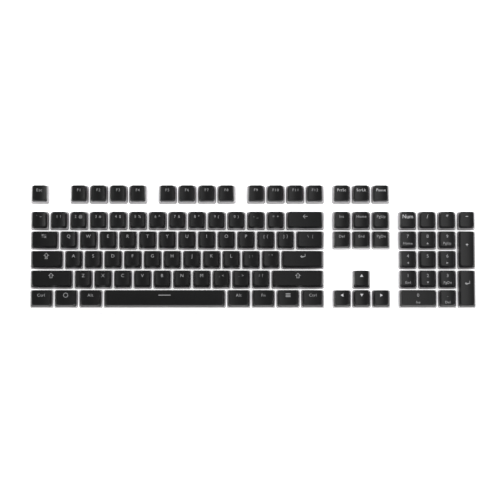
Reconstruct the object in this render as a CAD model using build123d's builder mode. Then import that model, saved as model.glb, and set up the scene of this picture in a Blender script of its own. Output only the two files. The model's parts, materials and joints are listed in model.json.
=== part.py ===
"""Full-size mechanical keyboard: 104 two-shot keycaps on a slim open-sided housing.

Everything is in millimetres. The origin is on the desk, under the middle of the case, with +X to the
typist's right, +Y to the back and +Z up.
"""

from build123d import *
from copy import copy
from math import atan, cos, degrees, radians, sin, tan
from typing import NamedTuple
import os

# ---------------------------------------------------------------- driving dimensions
pitch = 19.05  # spacing of the key grid
cluster_gap = 6.67  # extra space between blocks of keys
border = 2.5  # case beyond the key field
case_corner = 5.0

tray_bottom = 1.0  # underside of the tray above the desk
tray_floor = 2.2
tray_wall = 2.0
tray_edge = 1.2  # chamfer round the underside
board_gap = 5.8  # tray floor to circuit board
board_thickness = 1.6
board_play = 0.4  # board to tray wall
plate_thickness = 1.5
plate_edge = 0.4  # chamfer round the plate's top

# key switch
travel = 4.0
switch_body = 13.9  # lower housing, square
plate_cutout = 14.0
switch_depth = 5.0  # board to the top of the plate
base_wall = 1.2
base_floor = 1.0
flange_width = 15.6
flange_thickness = 1.0
cover_foot = 14.6
cover_crown_x = 11.5
cover_crown_y = 10.5
cover_height = 5.6
cover_wall = 1.0
cover_top = 1.2
slider_x = 6.6
slider_y = 5.4
slider_play = 0.2  # slider to the opening in the cover
slider_bore = 2.3  # radius of the spring's pocket in the slider
slider_bore_depth = 2.4
slider_room = 1.0  # pressed slider above the housing's floor
catch_x = 9.2  # the slider's catch under the cover
catch_y = 7.6
catch_thickness = 1.0
catch_play = 0.1
pole_radius = 1.0
pole_entry = 0.4  # pole inside its well at rest
well_radius = 1.25
well_room = 0.4  # below the pressed pole
collar_radius = 1.65
collar_height = 1.4
peg_radius = 1.95
peg_floor = 0.6
peg_play = 0.1
cross_length = 4.1
cross_width = 1.2
cross_height = 3.6
spring_radius = 1.95
spring_wire = 0.15
blade_width = 1.2
blade_thickness = 0.5
blade_play = 0.05
blade_tail = 1.7  # solder tail below the board
blade_room = 1.3  # pressed catch above the blades
blade_hole = 0.8
blade_spots = ((-3.81, 2.54, 90), (2.54, 5.08, 0))  # x, y and turn
lamp_size = (2.8, 1.8, 0.9)
lamp_y = -4.2
lamp_play = 0.35

# keycap
cap_gap = 1.0  # between the feet of neighbouring caps
foot_room = 1.0  # pressed cap above the switch's flange
side_inset = 2.68  # how far the walls lean in by the top
front_inset = 2.6
rear_inset = 1.25
cap_corner = 1.8
crown_edge = 0.5  # fillet round the top
lip_height = 5.4  # black skirt below the top
shot_wall = 0.75  # black shot over the sides
shot_top = 1.2  # black shot over the top
core_wall = 0.75  # milky shot under the black one
core_top = 1.0
dish_depth = 0.65
wide_dish = 0.45
crown_radius = 42.0  # the space bar's domed top
head_room = 3.0  # block above the top before it is cut to shape
boss_radius = 2.75
socket_play = 0.03

# stabiliser
near_spread = 11.94  # slider to key centre, on keys of two to three units
space_spread = 50.0
wire_radius = 0.75
wire_bend = 1.8
wire_reach = 8.3  # bar to slider
wire_tail = 1.1  # wire beyond the slider's middle
wire_drop = 1.3  # plate's underside to the bar's axis
wire_play = 0.12
wire_room = 0.3  # beside and above the moving arm
lug_width = 1.4
lug_wall = 0.8
lug_mouth = 1.2
lug_play = 0.05  # lug to the tray's wall
guide_x = 6.6
guide_y = 13.6
guide_crown_y = 11.2
guide_play = 0.15  # guide to its hole in the plate
guide_flange = (7.6, 15.0, 1.0)
guide_clearance = 0.2  # guide below the pressed boss
guide_lift = 0.2  # guide above the board
runner_x = 4.2
runner_y = 4.8
runner_play = 0.3
runner_sole = 0.75  # under the wire's hole
window_play = 1.3  # round the runner where it passes the board

# fastenings and feet
barrel_radius = 2.3  # standoff below the board
neck_radius = 1.7  # standoff through the board
neck_play = 0.2
thread_radius = 1.1
thread_depth = 6.0
screw_radius = 1.05
screw_hole = 1.4
screw_head_radius = 2.1
screw_head = 1.1
screw_length = 6.3
key_radius = 1.0  # hexagon in the screw's head
key_depth = 0.6
head_play = 0.2
pad_size = (26.0, 8.0)
pad_sink = 0.6
pad_play = 0.1
pad_inset = (30.0, 9.0)  # pad centre from the case edges
stand_width = 36.0
stand_length = 16.0
stand_thickness = 3.0
stand_tip = 1.4  # rubber on the stand's end
tongue_size = (26.0, 1.2, 2.6)  # rubber inside the stand: width, thickness, length
stand_inset = (72.0, 9.5)  # hinge middle from the case edges
stand_play = 0.35
grip_size = (20.0, 5.0, 0.8)  # hollow in the stand's outer face
hinge_height = 3.0
trunnion_radius = 1.2
trunnion_length = 2.2
trunnion_play = 0.15
cheek = 3.6  # wall beside the stand's pocket
pocket_wall = 1.6  # in front of the pocket and behind it
pocket_ceiling = 1.1
finger_room = 5.0

# socket for the cable
socket_units = 6.25  # place along the row, in key units
socket_shell = (8.94, 3.26, 7.35)
socket_wall = 0.3
socket_back = 1.0
socket_tongue = (6.7, 0.7, 5.2)
socket_sink = 1.2  # mouth behind the case's face
plug_window = (13.0, 7.2)

# indicator light pipes
lens_radius = 1.0
lens_flange_radius = 1.6
lens_flange = 0.8
lens_proud = 0.3
lens_play = 0.05
lens_spacing = 7.0
lens_units = 1.5  # middle pipe from the edge of the number block, in key units

# parts on the board's underside: distance from the socket, width, depth, height
chips = ((12.0, 9.0, 9.0, 1.4), (38.0, 5.0, 3.2, 1.1), (52.0, 6.0, 6.0, 0.9), (150.0, 6.0, 6.0, 0.9),
         (250.0, 6.0, 6.0, 0.9), (-14.0, 3.0, 1.7, 1.2), (-20.0, 3.2, 1.6, 0.8), (-50.0, 6.0, 6.0, 0.9))

# ---------------------------------------------------------------- heights that follow
floor_top = tray_bottom + tray_floor
board_bottom = floor_top + board_gap
board_top = board_bottom + board_thickness
plate_top = board_top + switch_depth
plate_bottom = plate_top - plate_thickness
flange_top = plate_top + flange_thickness
cover_crown = flange_top + cover_height
cavity_floor = board_top + base_floor
slider_foot = cavity_floor + travel + slider_room
spring_top = slider_foot + slider_bore_depth
catch_foot = cover_crown - cover_top - catch_play - catch_thickness
pole_foot = cavity_floor + collar_height - pole_entry
well_foot = pole_foot - travel - well_room
blade_top = catch_foot - travel - blade_room
cap_foot = flange_top + travel + foot_room
guide_rise = cover_crown - travel - guide_clearance - plate_top
boss_foot = cover_crown - cap_foot  # in the cap's own frame
bar_height = plate_bottom - wire_drop
lug_reach = wire_reach + wire_radius + wire_play + lug_wall  # middle of a wide key to the end of its lugs
half_swing = degrees(atan(travel / 2 / wire_reach))
wire_hole = wire_radius / cos(radians(half_swing)) + runner_y / 2 * tan(radians(half_swing)) + wire_play
wire_hole_height = bar_height + travel / 2
runner_foot = wire_hole_height - wire_hole - runner_sole

main_block = 0.0
nav_block = 15 * pitch + cluster_gap
pad_block = nav_block + 3 * pitch + cluster_gap
field_width = pad_block + 4 * pitch
field_depth = 6 * pitch + cluster_gap
case_width = field_width + 2 * border
case_depth = field_depth + 2 * border

# ---------------------------------------------------------------- key layout
# Sculpted rows, back to front: height of the cap, and how far its top leans towards the typist.
row_height = (12.0, 11.2, 9.7, 9.1, 9.4, 9.4)
row_lean = (7.0, 6.0, 3.0, -1.0, -5.0, -5.0)
tall_height = 9.4
tall_lean = 0.0

# One run of neighbouring keys: what moves together, block, row, first column, widths in key units.
runs = (
    ("esc", main_block, 0, 0, (1,)),
    ("f1_to_f4", main_block, 0, 2, (1,) * 4),
    ("f5_to_f8", main_block, 0, 6.5, (1,) * 4),
    ("f9_to_f12", main_block, 0, 11, (1,) * 4),
    ("print_to_pause", nav_block, 0, 0, (1,) * 3),
    ("number_row", main_block, 1, 0, (1,) * 13),
    ("backspace", main_block, 1, 13, (2,)),
    ("insert_to_page_down", nav_block, 1, 0, (1,) * 3),
    ("insert_to_page_down", nav_block, 2, 0, (1,) * 3),
    ("tab", main_block, 2, 0, (1.5,)),
    ("top_letter_row", main_block, 2, 1.5, (1,) * 12),
    ("backslash", main_block, 2, 13.5, (1.5,)),
    ("caps_lock", main_block, 3, 0, (1.75,)),
    ("home_letter_row", main_block, 3, 1.75, (1,) * 11),
    ("enter", main_block, 3, 12.75, (2.25,)),
    ("left_shift", main_block, 4, 0, (2.25,)),
    ("bottom_letter_row", main_block, 4, 2.25, (1,) * 10),
    ("right_shift", main_block, 4, 12.25, (2.75,)),
    ("left_ctrl", main_block, 5, 0, (1.25,)),
    ("system", main_block, 5, 1.25, (1.25,)),
    ("left_alt", main_block, 5, 2.5, (1.25,)),
    ("space", main_block, 5, 3.75, (6.25,)),
    ("right_alt", main_block, 5, 10, (1.25,)),
    ("fn", main_block, 5, 11.25, (1.25,)),
    ("menu", main_block, 5, 12.5, (1.25,)),
    ("right_ctrl", main_block, 5, 13.75, (1.25,)),
    ("arrow_up", nav_block, 4, 1, (1,)),
    ("arrow_left", nav_block, 5, 0, (1,)),
    ("arrow_down", nav_block, 5, 1, (1,)),
    ("arrow_right", nav_block, 5, 2, (1,)),
    ("numpad", pad_block, 1, 0, (1,) * 4),
    ("numpad", pad_block, 2, 0, (1,) * 3),
    ("numpad", pad_block, 3, 0, (1,) * 3),
    ("numpad", pad_block, 4, 0, (1,) * 3),
    ("numpad", pad_block, 5, 2, (1,)),
    ("numpad_zero", pad_block, 5, 0, (2,)),
)
# Keys two rows tall: name, block, upper row, column.
tall_keys = (
    ("numpad_plus", pad_block, 2, 3),
    ("numpad_enter", pad_block, 4, 3),
)


class Key(NamedTuple):
    """One key: what it moves with, the middle of its switch, its size in key units and its row."""

    gang: str
    x: float
    y: float
    units: float
    tall: bool
    row: int


def row_middle(row):
    """Y of a row's middle, counted from the row at the back."""
    below = (row + 0.5) * pitch + (cluster_gap if row else 0)
    return field_depth / 2 - below


def lay_out_keys():
    """Every key of the board."""
    keys = []
    for gang, block, row, column, widths in runs:
        for units in widths:
            x = block + (column + units / 2) * pitch - field_width / 2
            keys.append(Key(gang, x, row_middle(row), units, False, row))
            column += units
    for gang, block, row, column in tall_keys:
        x = block + (column + 0.5) * pitch - field_width / 2
        y = (row_middle(row) + row_middle(row + 1)) / 2
        keys.append(Key(gang, x, y, 2, True, row))
    return keys


def spread_of(key):
    """Distance from a key's middle to its stabiliser sliders, or None for a narrow key."""
    if key.units < 2:
        return None
    return near_spread if key.units < 6 else space_spread


def place_of(key):
    """Where a key's stabiliser goes: at its middle, turned a quarter on a tall key."""
    return Location((key.x, key.y, 0), (0, 0, 90 if key.tall else 0))


def copy_at(shape, place):
    """A copy of a solid, moved from the origin to a place. Copies share one geometry."""
    return copy(shape.solid()).locate(place)


def save(shapes, name):
    """Writes one node. Separate solids stay separate, so copies are never fused."""
    shapes = shapes if isinstance(shapes, list) else [shapes]
    node = shapes[0] if len(shapes) == 1 else Compound(children=shapes)
    node.label = name
    export_step(node, f"parts/{name}.step")


os.makedirs("parts", exist_ok=True)
keys = lay_out_keys()
switch_spots = [Location((key.x, key.y, 0)) for key in keys]
wide_keys = [key for key in keys if spread_of(key)]
guide_spots = [
    place_of(key) * Location((side * spread_of(key), 0, 0)) for key in wide_keys for side in (-1, 1)
]

# ---------------------------------------------------------------- places of small parts
left_edge = -field_width / 2
gap_line = row_middle(0) - (pitch + cluster_gap) / 2  # between the two rows at the back
low_line = (row_middle(4) + row_middle(5)) / 2
nav_gap = left_edge + nav_block - cluster_gap / 2
pad_gap = left_edge + pad_block - cluster_gap / 2
standoff_spots = [
    (left_edge + 1.5 * pitch, gap_line),
    (left_edge + 7.5 * pitch, gap_line),
    (nav_gap, gap_line),
    (left_edge + pad_block + 3.5 * pitch, row_middle(0)),
    (left_edge + 2.5 * pitch, low_line),
    (left_edge + 11 * pitch, low_line),
    (nav_gap, row_middle(4)),
    (pad_gap, row_middle(4)),
]
lens_spots = [
    (left_edge + pad_block + lens_units * pitch + step * lens_spacing, row_middle(0))
    for step in (-1, 0, 1)
]
pad_spots = [
    (side_x * (case_width / 2 - pad_inset[0]), side_y * (case_depth / 2 - pad_inset[1]))
    for side_x in (-1, 0, 1)
    for side_y in (-1, 1)
]
socket_x = left_edge + socket_units * pitch
socket_middle = board_bottom - socket_shell[1] / 2
socket_face = Plane((socket_x, case_depth / 2 - socket_sink, socket_middle), (1, 0, 0), (0, -1, 0))
hinge_y = case_depth / 2 - stand_inset[1]
stand_reach = case_width / 2 - stand_inset[0]
pocket_rear = hinge_y + stand_thickness / 2 + stand_play
pocket_front = hinge_y - stand_length - stand_tip - finger_room
pocket_middle = (pocket_rear + pocket_front) / 2
pocket_size = (stand_width + 2 * stand_play, pocket_rear - pocket_front)
pocket_top = hinge_height + stand_thickness / 2 + stand_play


# ---------------------------------------------------------------- key switch
def make_switch_base():
    """Lower housing: clips into the plate, stands on the board and guides the slider's pole."""
    with BuildPart() as base:
        with BuildSketch(Plane.XY.offset(board_top)):
            RectangleRounded(switch_body, switch_body, 0.5)
        extrude(amount=switch_depth)
        with BuildSketch(Plane.XY.offset(plate_top)):
            RectangleRounded(flange_width, flange_width, 0.8)
        extrude(amount=flange_thickness)
        with BuildSketch(Plane.XY.offset(cavity_floor)):
            Rectangle(switch_body - 2 * base_wall, switch_body - 2 * base_wall)
        extrude(amount=flange_top - cavity_floor, mode=Mode.SUBTRACT)
        with BuildSketch(Plane.XY.offset(cavity_floor)):
            Circle(collar_radius)
        extrude(amount=collar_height)
        with BuildSketch(Plane.XY.offset(board_top)):
            Circle(peg_radius)
        extrude(amount=well_foot - peg_floor - board_top)
        with BuildSketch(Plane.XY.offset(cavity_floor + collar_height)):
            Circle(well_radius)
        extrude(amount=well_foot - cavity_floor - collar_height, mode=Mode.SUBTRACT)
        with BuildSketch(Plane.XY.offset(board_top)):
            for x, y, turn in blade_spots:
                with Locations((x, y)):
                    Rectangle(blade_width + 2 * blade_play, blade_thickness + 2 * blade_play, turn)
            with Locations((0, lamp_y)):
                Rectangle(lamp_size[0] + 2 * lamp_play, lamp_size[1] + 2 * lamp_play)
        extrude(amount=base_floor, mode=Mode.SUBTRACT)
    return base.part


def make_switch_cover():
    """Upper housing: a tapered cover with the slider's opening in its top."""
    slope_x = (cover_foot - cover_crown_x) / cover_height
    slope_y = (cover_foot - cover_crown_y) / cover_height
    inner_height = cover_height - cover_top
    inner_foot = cover_foot - 2 * cover_wall
    with BuildPart() as cover:
        with BuildSketch(Plane.XY.offset(flange_top)):
            Rectangle(cover_foot, cover_foot)
        with BuildSketch(Plane.XY.offset(cover_crown)):
            Rectangle(cover_crown_x, cover_crown_y)
        loft(ruled=True)
        with BuildSketch(Plane.XY.offset(flange_top)):
            Rectangle(inner_foot, inner_foot)
        with BuildSketch(Plane.XY.offset(flange_top + inner_height)):
            Rectangle(inner_foot - slope_x * inner_height, inner_foot - slope_y * inner_height)
        loft(ruled=True, mode=Mode.SUBTRACT)
        with BuildSketch(Plane.XY.offset(flange_top)):
            Rectangle(slider_x + 2 * slider_play, slider_y + 2 * slider_play)
        extrude(amount=cover_height, mode=Mode.SUBTRACT)
    return cover.part


def make_slider():
    """The switch's moving stem: block, catch, guide pole and the cross that carries the cap."""
    with BuildPart() as slider:
        with BuildSketch(Plane.XY.offset(slider_foot)):
            Rectangle(slider_x, slider_y)
        extrude(amount=cover_crown - slider_foot)
        with BuildSketch(Plane.XY.offset(catch_foot)):
            Rectangle(catch_x, catch_y)
        extrude(amount=catch_thickness)
        with BuildSketch(Plane.XY.offset(slider_foot)):
            Circle(slider_bore)
        extrude(amount=slider_bore_depth, mode=Mode.SUBTRACT)
        with BuildSketch(Plane.XY.offset(pole_foot)):
            Circle(pole_radius)
        extrude(amount=spring_top - pole_foot)
        add(make_cross())
    return slider.part


def make_cross():
    """The cross on top of a slider, which the cap's boss is pressed on."""
    with BuildPart() as cross:
        with BuildSketch(Plane.XY.offset(cover_crown)):
            Rectangle(cross_length, cross_width)
            Rectangle(cross_width, cross_length)
        extrude(amount=cross_height)
    return cross.part


def make_spring():
    """Return spring as the sleeve that its coils fill, from the housing's floor to the slider."""
    with BuildPart() as spring:
        with BuildSketch(Plane.XY.offset(cavity_floor)):
            Circle(spring_radius + spring_wire)
            Circle(spring_radius - spring_wire, mode=Mode.SUBTRACT)
        extrude(amount=spring_top - cavity_floor)
    return spring.part


def make_blade(x, y, turn):
    """One contact blade, from its tail under the board to its tip in the housing."""
    foot = board_bottom - blade_tail
    with BuildPart() as blade:
        with BuildSketch(Plane.XY.offset(foot)):
            with Locations((x, y)):
                Rectangle(blade_width, blade_thickness, turn)
        extrude(amount=blade_top - foot)
    return blade.part


# ---------------------------------------------------------------- keycap
def make_skirt(width, depth, height, top, inset):
    """Tapered block of a cap, up to `top`, drawn in by `inset` on all sides."""
    half_x, half_y = width / 2 - inset, depth / 2 - inset
    walls = (
        Plane((half_x, 0, 0), z_dir=(height, 0, side_inset)),
        Plane((-half_x, 0, 0), z_dir=(-height, 0, side_inset)),
        Plane((0, -half_y, 0), z_dir=(0, -height, front_inset)),
        Plane((0, half_y, 0), z_dir=(0, height, rear_inset)),
    )
    with BuildPart() as block:
        with BuildSketch():
            Rectangle(width, depth)
        extrude(amount=top)
        for wall in walls:
            split(bisect_by=wall, keep=Keep.BOTTOM)
        corners = block.edges().filter_by(Plane.XY, reverse=True)
        fillet(corners, cap_corner - inset)
    return block.part


def top_frame(height, lean):
    """Plane on the cap's top, leaning towards the typist; its X is the cap's X."""
    middle = (front_inset - rear_inset) / 2
    slope = radians(lean)
    return Plane((0, middle, height), x_dir=(1, 0, 0), z_dir=(0, -sin(slope), cos(slope)))


def make_hollow(width, height, lean, domed):
    """What is cut away above the fingertip's surface: a shallow trough, or the air over a dome."""
    top = top_frame(height, lean)
    crown = width - 2 * side_inset
    depth = dish_depth if width < pitch else wide_dish
    radius = crown**2 / (8 * depth) + depth / 2
    along = Plane(top.origin, x_dir=top.x_dir, z_dir=top.y_dir)
    across = Plane(top.origin, x_dir=top.y_dir, z_dir=top.x_dir)
    with BuildPart() as hollow:
        if domed:
            with BuildSketch(across):
                Rectangle(2 * pitch, 4 * head_room)
                with Locations((0, -crown_radius)):
                    Circle(crown_radius, mode=Mode.SUBTRACT)
            extrude(amount=width, both=True)
        else:
            with BuildSketch(along):
                with Locations((0, depth - radius)):
                    Circle(radius)
            extrude(amount=3 * pitch, both=True)
    return hollow.part


def make_core(width, depth, height, lean, top, inset):
    """Tapered block that stops under the cap's top: the inner shot, or the room inside it."""
    with BuildPart() as core:
        add(make_skirt(width, depth, height, height, inset))
        split(bisect_by=top_frame(top, lean), keep=Keep.BOTTOM)
    return core.part


def make_cap(width, depth, height, lean, bosses, domed):
    """Black outer shot and milky inner shot of one keycap, standing on z = 0."""
    sunk = 0 if domed else (dish_depth if width < pitch else wide_dish)
    core_height = height - sunk - shot_top
    ceiling = core_height - core_top
    core = make_core(width, depth, height, lean, core_height, shot_wall)
    room = make_core(width, depth, height, lean, ceiling, shot_wall + core_wall)
    with BuildPart() as outside:
        add(make_skirt(width, depth, height, height + head_room, 0))
        add(make_hollow(width, height, lean, domed), mode=Mode.SUBTRACT)
        touched = outside.faces().filter_by(GeomType.CYLINDER).sort_by(SortBy.AREA)[-1]
        fillet(touched.edges(), crown_edge)
    with BuildPart() as shell:
        add(outside.part)
        split(bisect_by=Plane.XY.offset(height - lip_height), keep=Keep.TOP)
        add(core, mode=Mode.SUBTRACT)
    with BuildPart() as body:
        add(outside.part)
        split(bisect_by=Plane.XY.offset(height - lip_height), keep=Keep.BOTTOM)
        add(core)
        add(room, mode=Mode.SUBTRACT)
        with BuildSketch(Plane.XY.offset(boss_foot)):
            with Locations(*bosses):
                Circle(boss_radius)
        extrude(amount=ceiling + core_top / 2 - boss_foot)
        with BuildSketch(Plane.XY.offset(boss_foot)):
            with Locations(*bosses):
                Rectangle(cross_length + 2 * socket_play, cross_width + 2 * socket_play)
                Rectangle(cross_width + 2 * socket_play, cross_length + 2 * socket_play)
        extrude(amount=cross_height, mode=Mode.SUBTRACT)
    return [shell.part, body.part]


# ---------------------------------------------------------------- stabiliser
def make_guide():
    """Guide of a stabiliser on the key's left: its middle on the origin, the key's towards +X."""
    foot = board_top + guide_lift
    ring = wire_radius + wire_play
    with BuildPart() as guide:
        with BuildSketch(Plane.XY.offset(foot)):
            Rectangle(guide_x, guide_y)
        extrude(amount=plate_top - foot)
        with BuildSketch(Plane.XY.offset(plate_top)):
            Rectangle(guide_flange[0], guide_flange[1])
        extrude(amount=guide_flange[2])
        with BuildSketch(Plane.XY.offset(plate_top)):
            Rectangle(guide_x, guide_crown_y)
        extrude(amount=guide_rise)
        with BuildSketch(Plane.XY.offset(foot)):
            Rectangle(runner_x + 2 * runner_play, runner_y + 2 * runner_play)
        extrude(amount=plate_top + guide_rise - foot, mode=Mode.SUBTRACT)
        with BuildSketch(Plane.XY.offset(foot)):
            with Locations((0, -guide_y / 2)):
                Rectangle(2 * (wire_radius + wire_room), guide_y)
        extrude(amount=wire_hole_height + wire_radius - foot, mode=Mode.SUBTRACT)
        lug_foot = Plane((guide_x / 2 - lug_width, -wire_reach, bar_height), (0, 1, 0), (1, 0, 0))
        with BuildSketch(lug_foot):
            with BuildLine():
                Polyline(
                    (guide_y / -2 + wire_reach, -ring - lug_wall),
                    (-ring - lug_wall, -ring - lug_wall),
                    (-ring - lug_wall, wire_drop - guide_lift),
                    (guide_y / -2 + wire_reach, wire_drop - guide_lift),
                    close=True,
                )
            make_face()
            Circle(ring, mode=Mode.SUBTRACT)
            with Locations((0, ring)):
                Rectangle(lug_mouth, 2 * ring, mode=Mode.SUBTRACT)
        extrude(amount=lug_width)
    return guide.part


def make_runner():
    """Slider inside a guide: it carries one end of the cap and rides on the wire's arm."""
    with BuildPart() as runner:
        with BuildSketch(Plane.XY.offset(runner_foot)):
            Rectangle(runner_x, runner_y)
        extrude(amount=cover_crown - runner_foot)
        with BuildSketch(Plane((0, 0, wire_hole_height), (1, 0, 0), (0, -1, 0))):
            Rectangle(2 * wire_radius + 2 * wire_room, 2 * wire_hole)
        extrude(amount=runner_y, both=True, mode=Mode.SUBTRACT)
        add(make_cross())
    return runner.part


def make_wire(spread):
    """Stabiliser wire at rest: a bar in front of the key and an arm up to each runner."""
    slope = radians(half_swing)
    bar = Plane((0, -wire_reach, bar_height), x_dir=(1, 0, 0), z_dir=(0, -sin(slope), cos(slope)))
    arm = wire_reach / cos(slope) + wire_tail
    with BuildPart() as wire:
        with BuildLine(bar):
            route = FilletPolyline((-spread, arm), (-spread, 0), (spread, 0), (spread, arm), radius=wire_bend)
        with BuildSketch(Plane(route @ 0, z_dir=route % 0)):
            Circle(wire_radius)
        sweep()
    return wire.part


# ---------------------------------------------------------------- housing
def make_tray():
    """Bottom case: floor, walls, boxes round the folding stands, and the way in for the plug."""
    stand_places = [(side * stand_reach, pocket_middle) for side in (-1, 1)]
    with BuildPart() as tray:
        with BuildSketch(Plane.XY.offset(tray_bottom)):
            RectangleRounded(case_width, case_depth, case_corner)
        extrude(amount=plate_bottom - tray_bottom)
        chamfer(tray.faces().sort_by(Axis.Z)[0].edges(), tray_edge)
        with BuildSketch(Plane.XY.offset(floor_top)):
            RectangleRounded(case_width - 2 * tray_wall, case_depth - 2 * tray_wall, case_corner - tray_wall)
        extrude(amount=plate_bottom - floor_top, mode=Mode.SUBTRACT)
        lug_room = lug_reach + lug_play
        with BuildSketch(Plane.XY.offset(board_top)):
            with Locations(*[spot * Location((0, -lug_room / 2, 0)) for spot in guide_spots]):
                Rectangle(guide_x, lug_room)
        extrude(amount=plate_bottom - board_top, mode=Mode.SUBTRACT)
        with BuildSketch(Plane.XY.offset(floor_top)):
            with Locations(*stand_places):
                Rectangle(pocket_size[0] + 2 * cheek, pocket_size[1] + 2 * pocket_wall)
        extrude(amount=pocket_top + pocket_ceiling - floor_top)
        with BuildSketch(Plane.XY.offset(tray_bottom)):
            with Locations(*stand_places):
                Rectangle(pocket_size[0], pocket_size[1])
        extrude(amount=pocket_top - tray_bottom, mode=Mode.SUBTRACT)
        for side in (-1, 1):
            with BuildSketch(hinge_plane(side)):
                Circle(trunnion_radius + trunnion_play)
            bore = stand_width / 2 + trunnion_length + stand_play
            extrude(amount=bore, both=True, mode=Mode.SUBTRACT)
        with BuildSketch(Plane.XY.offset(tray_bottom)):
            with Locations(*pad_spots):
                Rectangle(pad_size[0] + 2 * pad_play, pad_size[1] + 2 * pad_play)
        extrude(amount=pad_sink, mode=Mode.SUBTRACT)
        with BuildSketch(Plane.XY.offset(tray_bottom)):
            with Locations(*standoff_spots):
                Circle(screw_hole)
        extrude(amount=tray_floor, mode=Mode.SUBTRACT)
        with BuildSketch(Plane.XY.offset(tray_bottom)):
            with Locations(*standoff_spots):
                Circle(screw_head_radius + head_play)
        extrude(amount=screw_head, mode=Mode.SUBTRACT)
        with BuildSketch(Plane((socket_x, case_depth / 2, socket_middle), (1, 0, 0), (0, -1, 0))):
            RectangleRounded(plug_window[0], plug_window[1], plug_window[1] / 4)
        extrude(amount=tray_wall, mode=Mode.SUBTRACT)
    return tray.part


def hinge_plane(side):
    """Plane across a stand's hinge, at the stand's middle; its X runs to the back."""
    return Plane((side * stand_reach, hinge_y, hinge_height), (0, 1, 0), (1, 0, 0))


def make_plate():
    """Switch plate: the top of the case, with a hole for each switch, guide and light pipe."""
    with BuildPart() as plate:
        with BuildSketch(Plane.XY.offset(plate_bottom)):
            RectangleRounded(case_width, case_depth, case_corner)
        extrude(amount=plate_thickness)
        chamfer(plate.faces().sort_by(Axis.Z)[-1].edges(), plate_edge)
        with BuildSketch(Plane.XY.offset(plate_bottom)):
            with Locations(*switch_spots):
                Rectangle(plate_cutout, plate_cutout)
            with Locations(*guide_spots):
                Rectangle(guide_x + 2 * guide_play, guide_y + 2 * guide_play)
            with Locations(*lens_spots):
                Circle(lens_radius + lens_play)
        extrude(amount=plate_thickness, mode=Mode.SUBTRACT)
    return plate.part


def make_board():
    """Circuit board, with holes for the pegs, blades and standoffs and windows for the runners."""
    inset = tray_wall + board_play
    with BuildPart() as board:
        with BuildSketch(Plane.XY.offset(board_bottom)):
            RectangleRounded(case_width - 2 * inset, case_depth - 2 * inset, case_corner - inset)
        extrude(amount=board_thickness)
        with BuildSketch(Plane.XY.offset(board_bottom)):
            with Locations(*switch_spots):
                Circle(peg_radius + peg_play)
                with Locations(*[(x, y) for x, y, turn in blade_spots]):
                    Circle(blade_hole)
            with Locations(*guide_spots):
                Rectangle(runner_x + 2 * window_play, runner_y + 2 * window_play)
            with Locations(*standoff_spots):
                Circle(neck_radius + neck_play)
        extrude(amount=board_thickness, mode=Mode.SUBTRACT)
    return board.part


def make_socket():
    """Socket for the cable: an oval metal shell, closed at the back, with a tongue inside."""
    width, height, depth = socket_shell
    with BuildPart() as socket:
        with BuildSketch(socket_face):
            SlotOverall(width, height)
        extrude(amount=depth)
        with BuildSketch(socket_face):
            SlotOverall(width - 2 * socket_wall, height - 2 * socket_wall)
        extrude(amount=depth - socket_back, mode=Mode.SUBTRACT)
        with BuildSketch(socket_face.offset(depth - socket_back)):
            Rectangle(socket_tongue[0], socket_tongue[1])
        extrude(amount=-socket_tongue[2])
    return socket.part


def make_standoff():
    """Threaded post under the plate: the board rests on its shoulder."""
    with BuildPart() as standoff:
        with BuildSketch(Plane.XY.offset(floor_top)):
            Circle(barrel_radius)
        extrude(amount=board_bottom - floor_top)
        with BuildSketch(Plane.XY.offset(board_bottom)):
            Circle(neck_radius)
        extrude(amount=plate_bottom - board_bottom)
        with BuildSketch(Plane.XY.offset(floor_top)):
            Circle(thread_radius)
        extrude(amount=thread_depth, mode=Mode.SUBTRACT)
    return standoff.part


def make_screw():
    """Case screw, driven from below."""
    with BuildPart() as screw:
        with BuildSketch(Plane.XY.offset(tray_bottom)):
            Circle(screw_head_radius)
        extrude(amount=screw_head)
        with BuildSketch(Plane.XY.offset(tray_bottom + screw_head)):
            Circle(screw_radius)
        extrude(amount=screw_length)
        with BuildSketch(Plane.XY.offset(tray_bottom)):
            RegularPolygon(key_radius, 6)
        extrude(amount=key_depth, mode=Mode.SUBTRACT)
    return screw.part


def make_foot():
    """Rubber foot, let into the tray's underside."""
    with BuildPart() as foot:
        with BuildSketch():
            RectangleRounded(pad_size[0], pad_size[1], pad_size[1] / 4)
        extrude(amount=tray_bottom + pad_sink)
    return foot.part


def make_lens():
    """Light pipe through the plate, with a flange under it."""
    with BuildPart() as lens:
        with BuildSketch(Plane.XY.offset(plate_bottom - lens_flange)):
            Circle(lens_flange_radius)
        extrude(amount=lens_flange)
        with BuildSketch(Plane.XY.offset(plate_bottom)):
            Circle(lens_radius)
        extrude(amount=plate_thickness + lens_proud)
    return lens.part


def make_box(width, depth, height, foot):
    """Plain block, such as a chip or a lamp, standing on `foot`."""
    with BuildPart() as block:
        with BuildSketch(Plane.XY.offset(foot)):
            Rectangle(width, depth)
        extrude(amount=height)
    return block.part


# ---------------------------------------------------------------- folding stands
def make_stand(side):
    """Folding stand, lying in its pocket with its free end towards the front."""
    hinge = hinge_plane(side)
    with BuildPart() as stand:
        with BuildSketch(hinge):
            Circle(stand_thickness / 2)
            with Locations((-stand_length / 2, 0)):
                Rectangle(stand_length, stand_thickness)
        extrude(amount=stand_width / 2, both=True)
        with BuildSketch(hinge):
            Circle(trunnion_radius)
        extrude(amount=stand_width / 2 + trunnion_length, both=True)
        with BuildSketch(hinge):
            with Locations((tongue_size[2] / 2 - stand_length, 0)):
                Rectangle(tongue_size[2], tongue_size[1])
        extrude(amount=tongue_size[0] / 2, both=True, mode=Mode.SUBTRACT)
        with BuildSketch(Plane.XY.offset(hinge_height - stand_thickness / 2)):
            with Locations((side * stand_reach, hinge_y - stand_length / 2)):
                RectangleRounded(grip_size[0], grip_size[1], grip_size[1] / 4)
        extrude(amount=grip_size[2], mode=Mode.SUBTRACT)
    return stand.part


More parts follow.
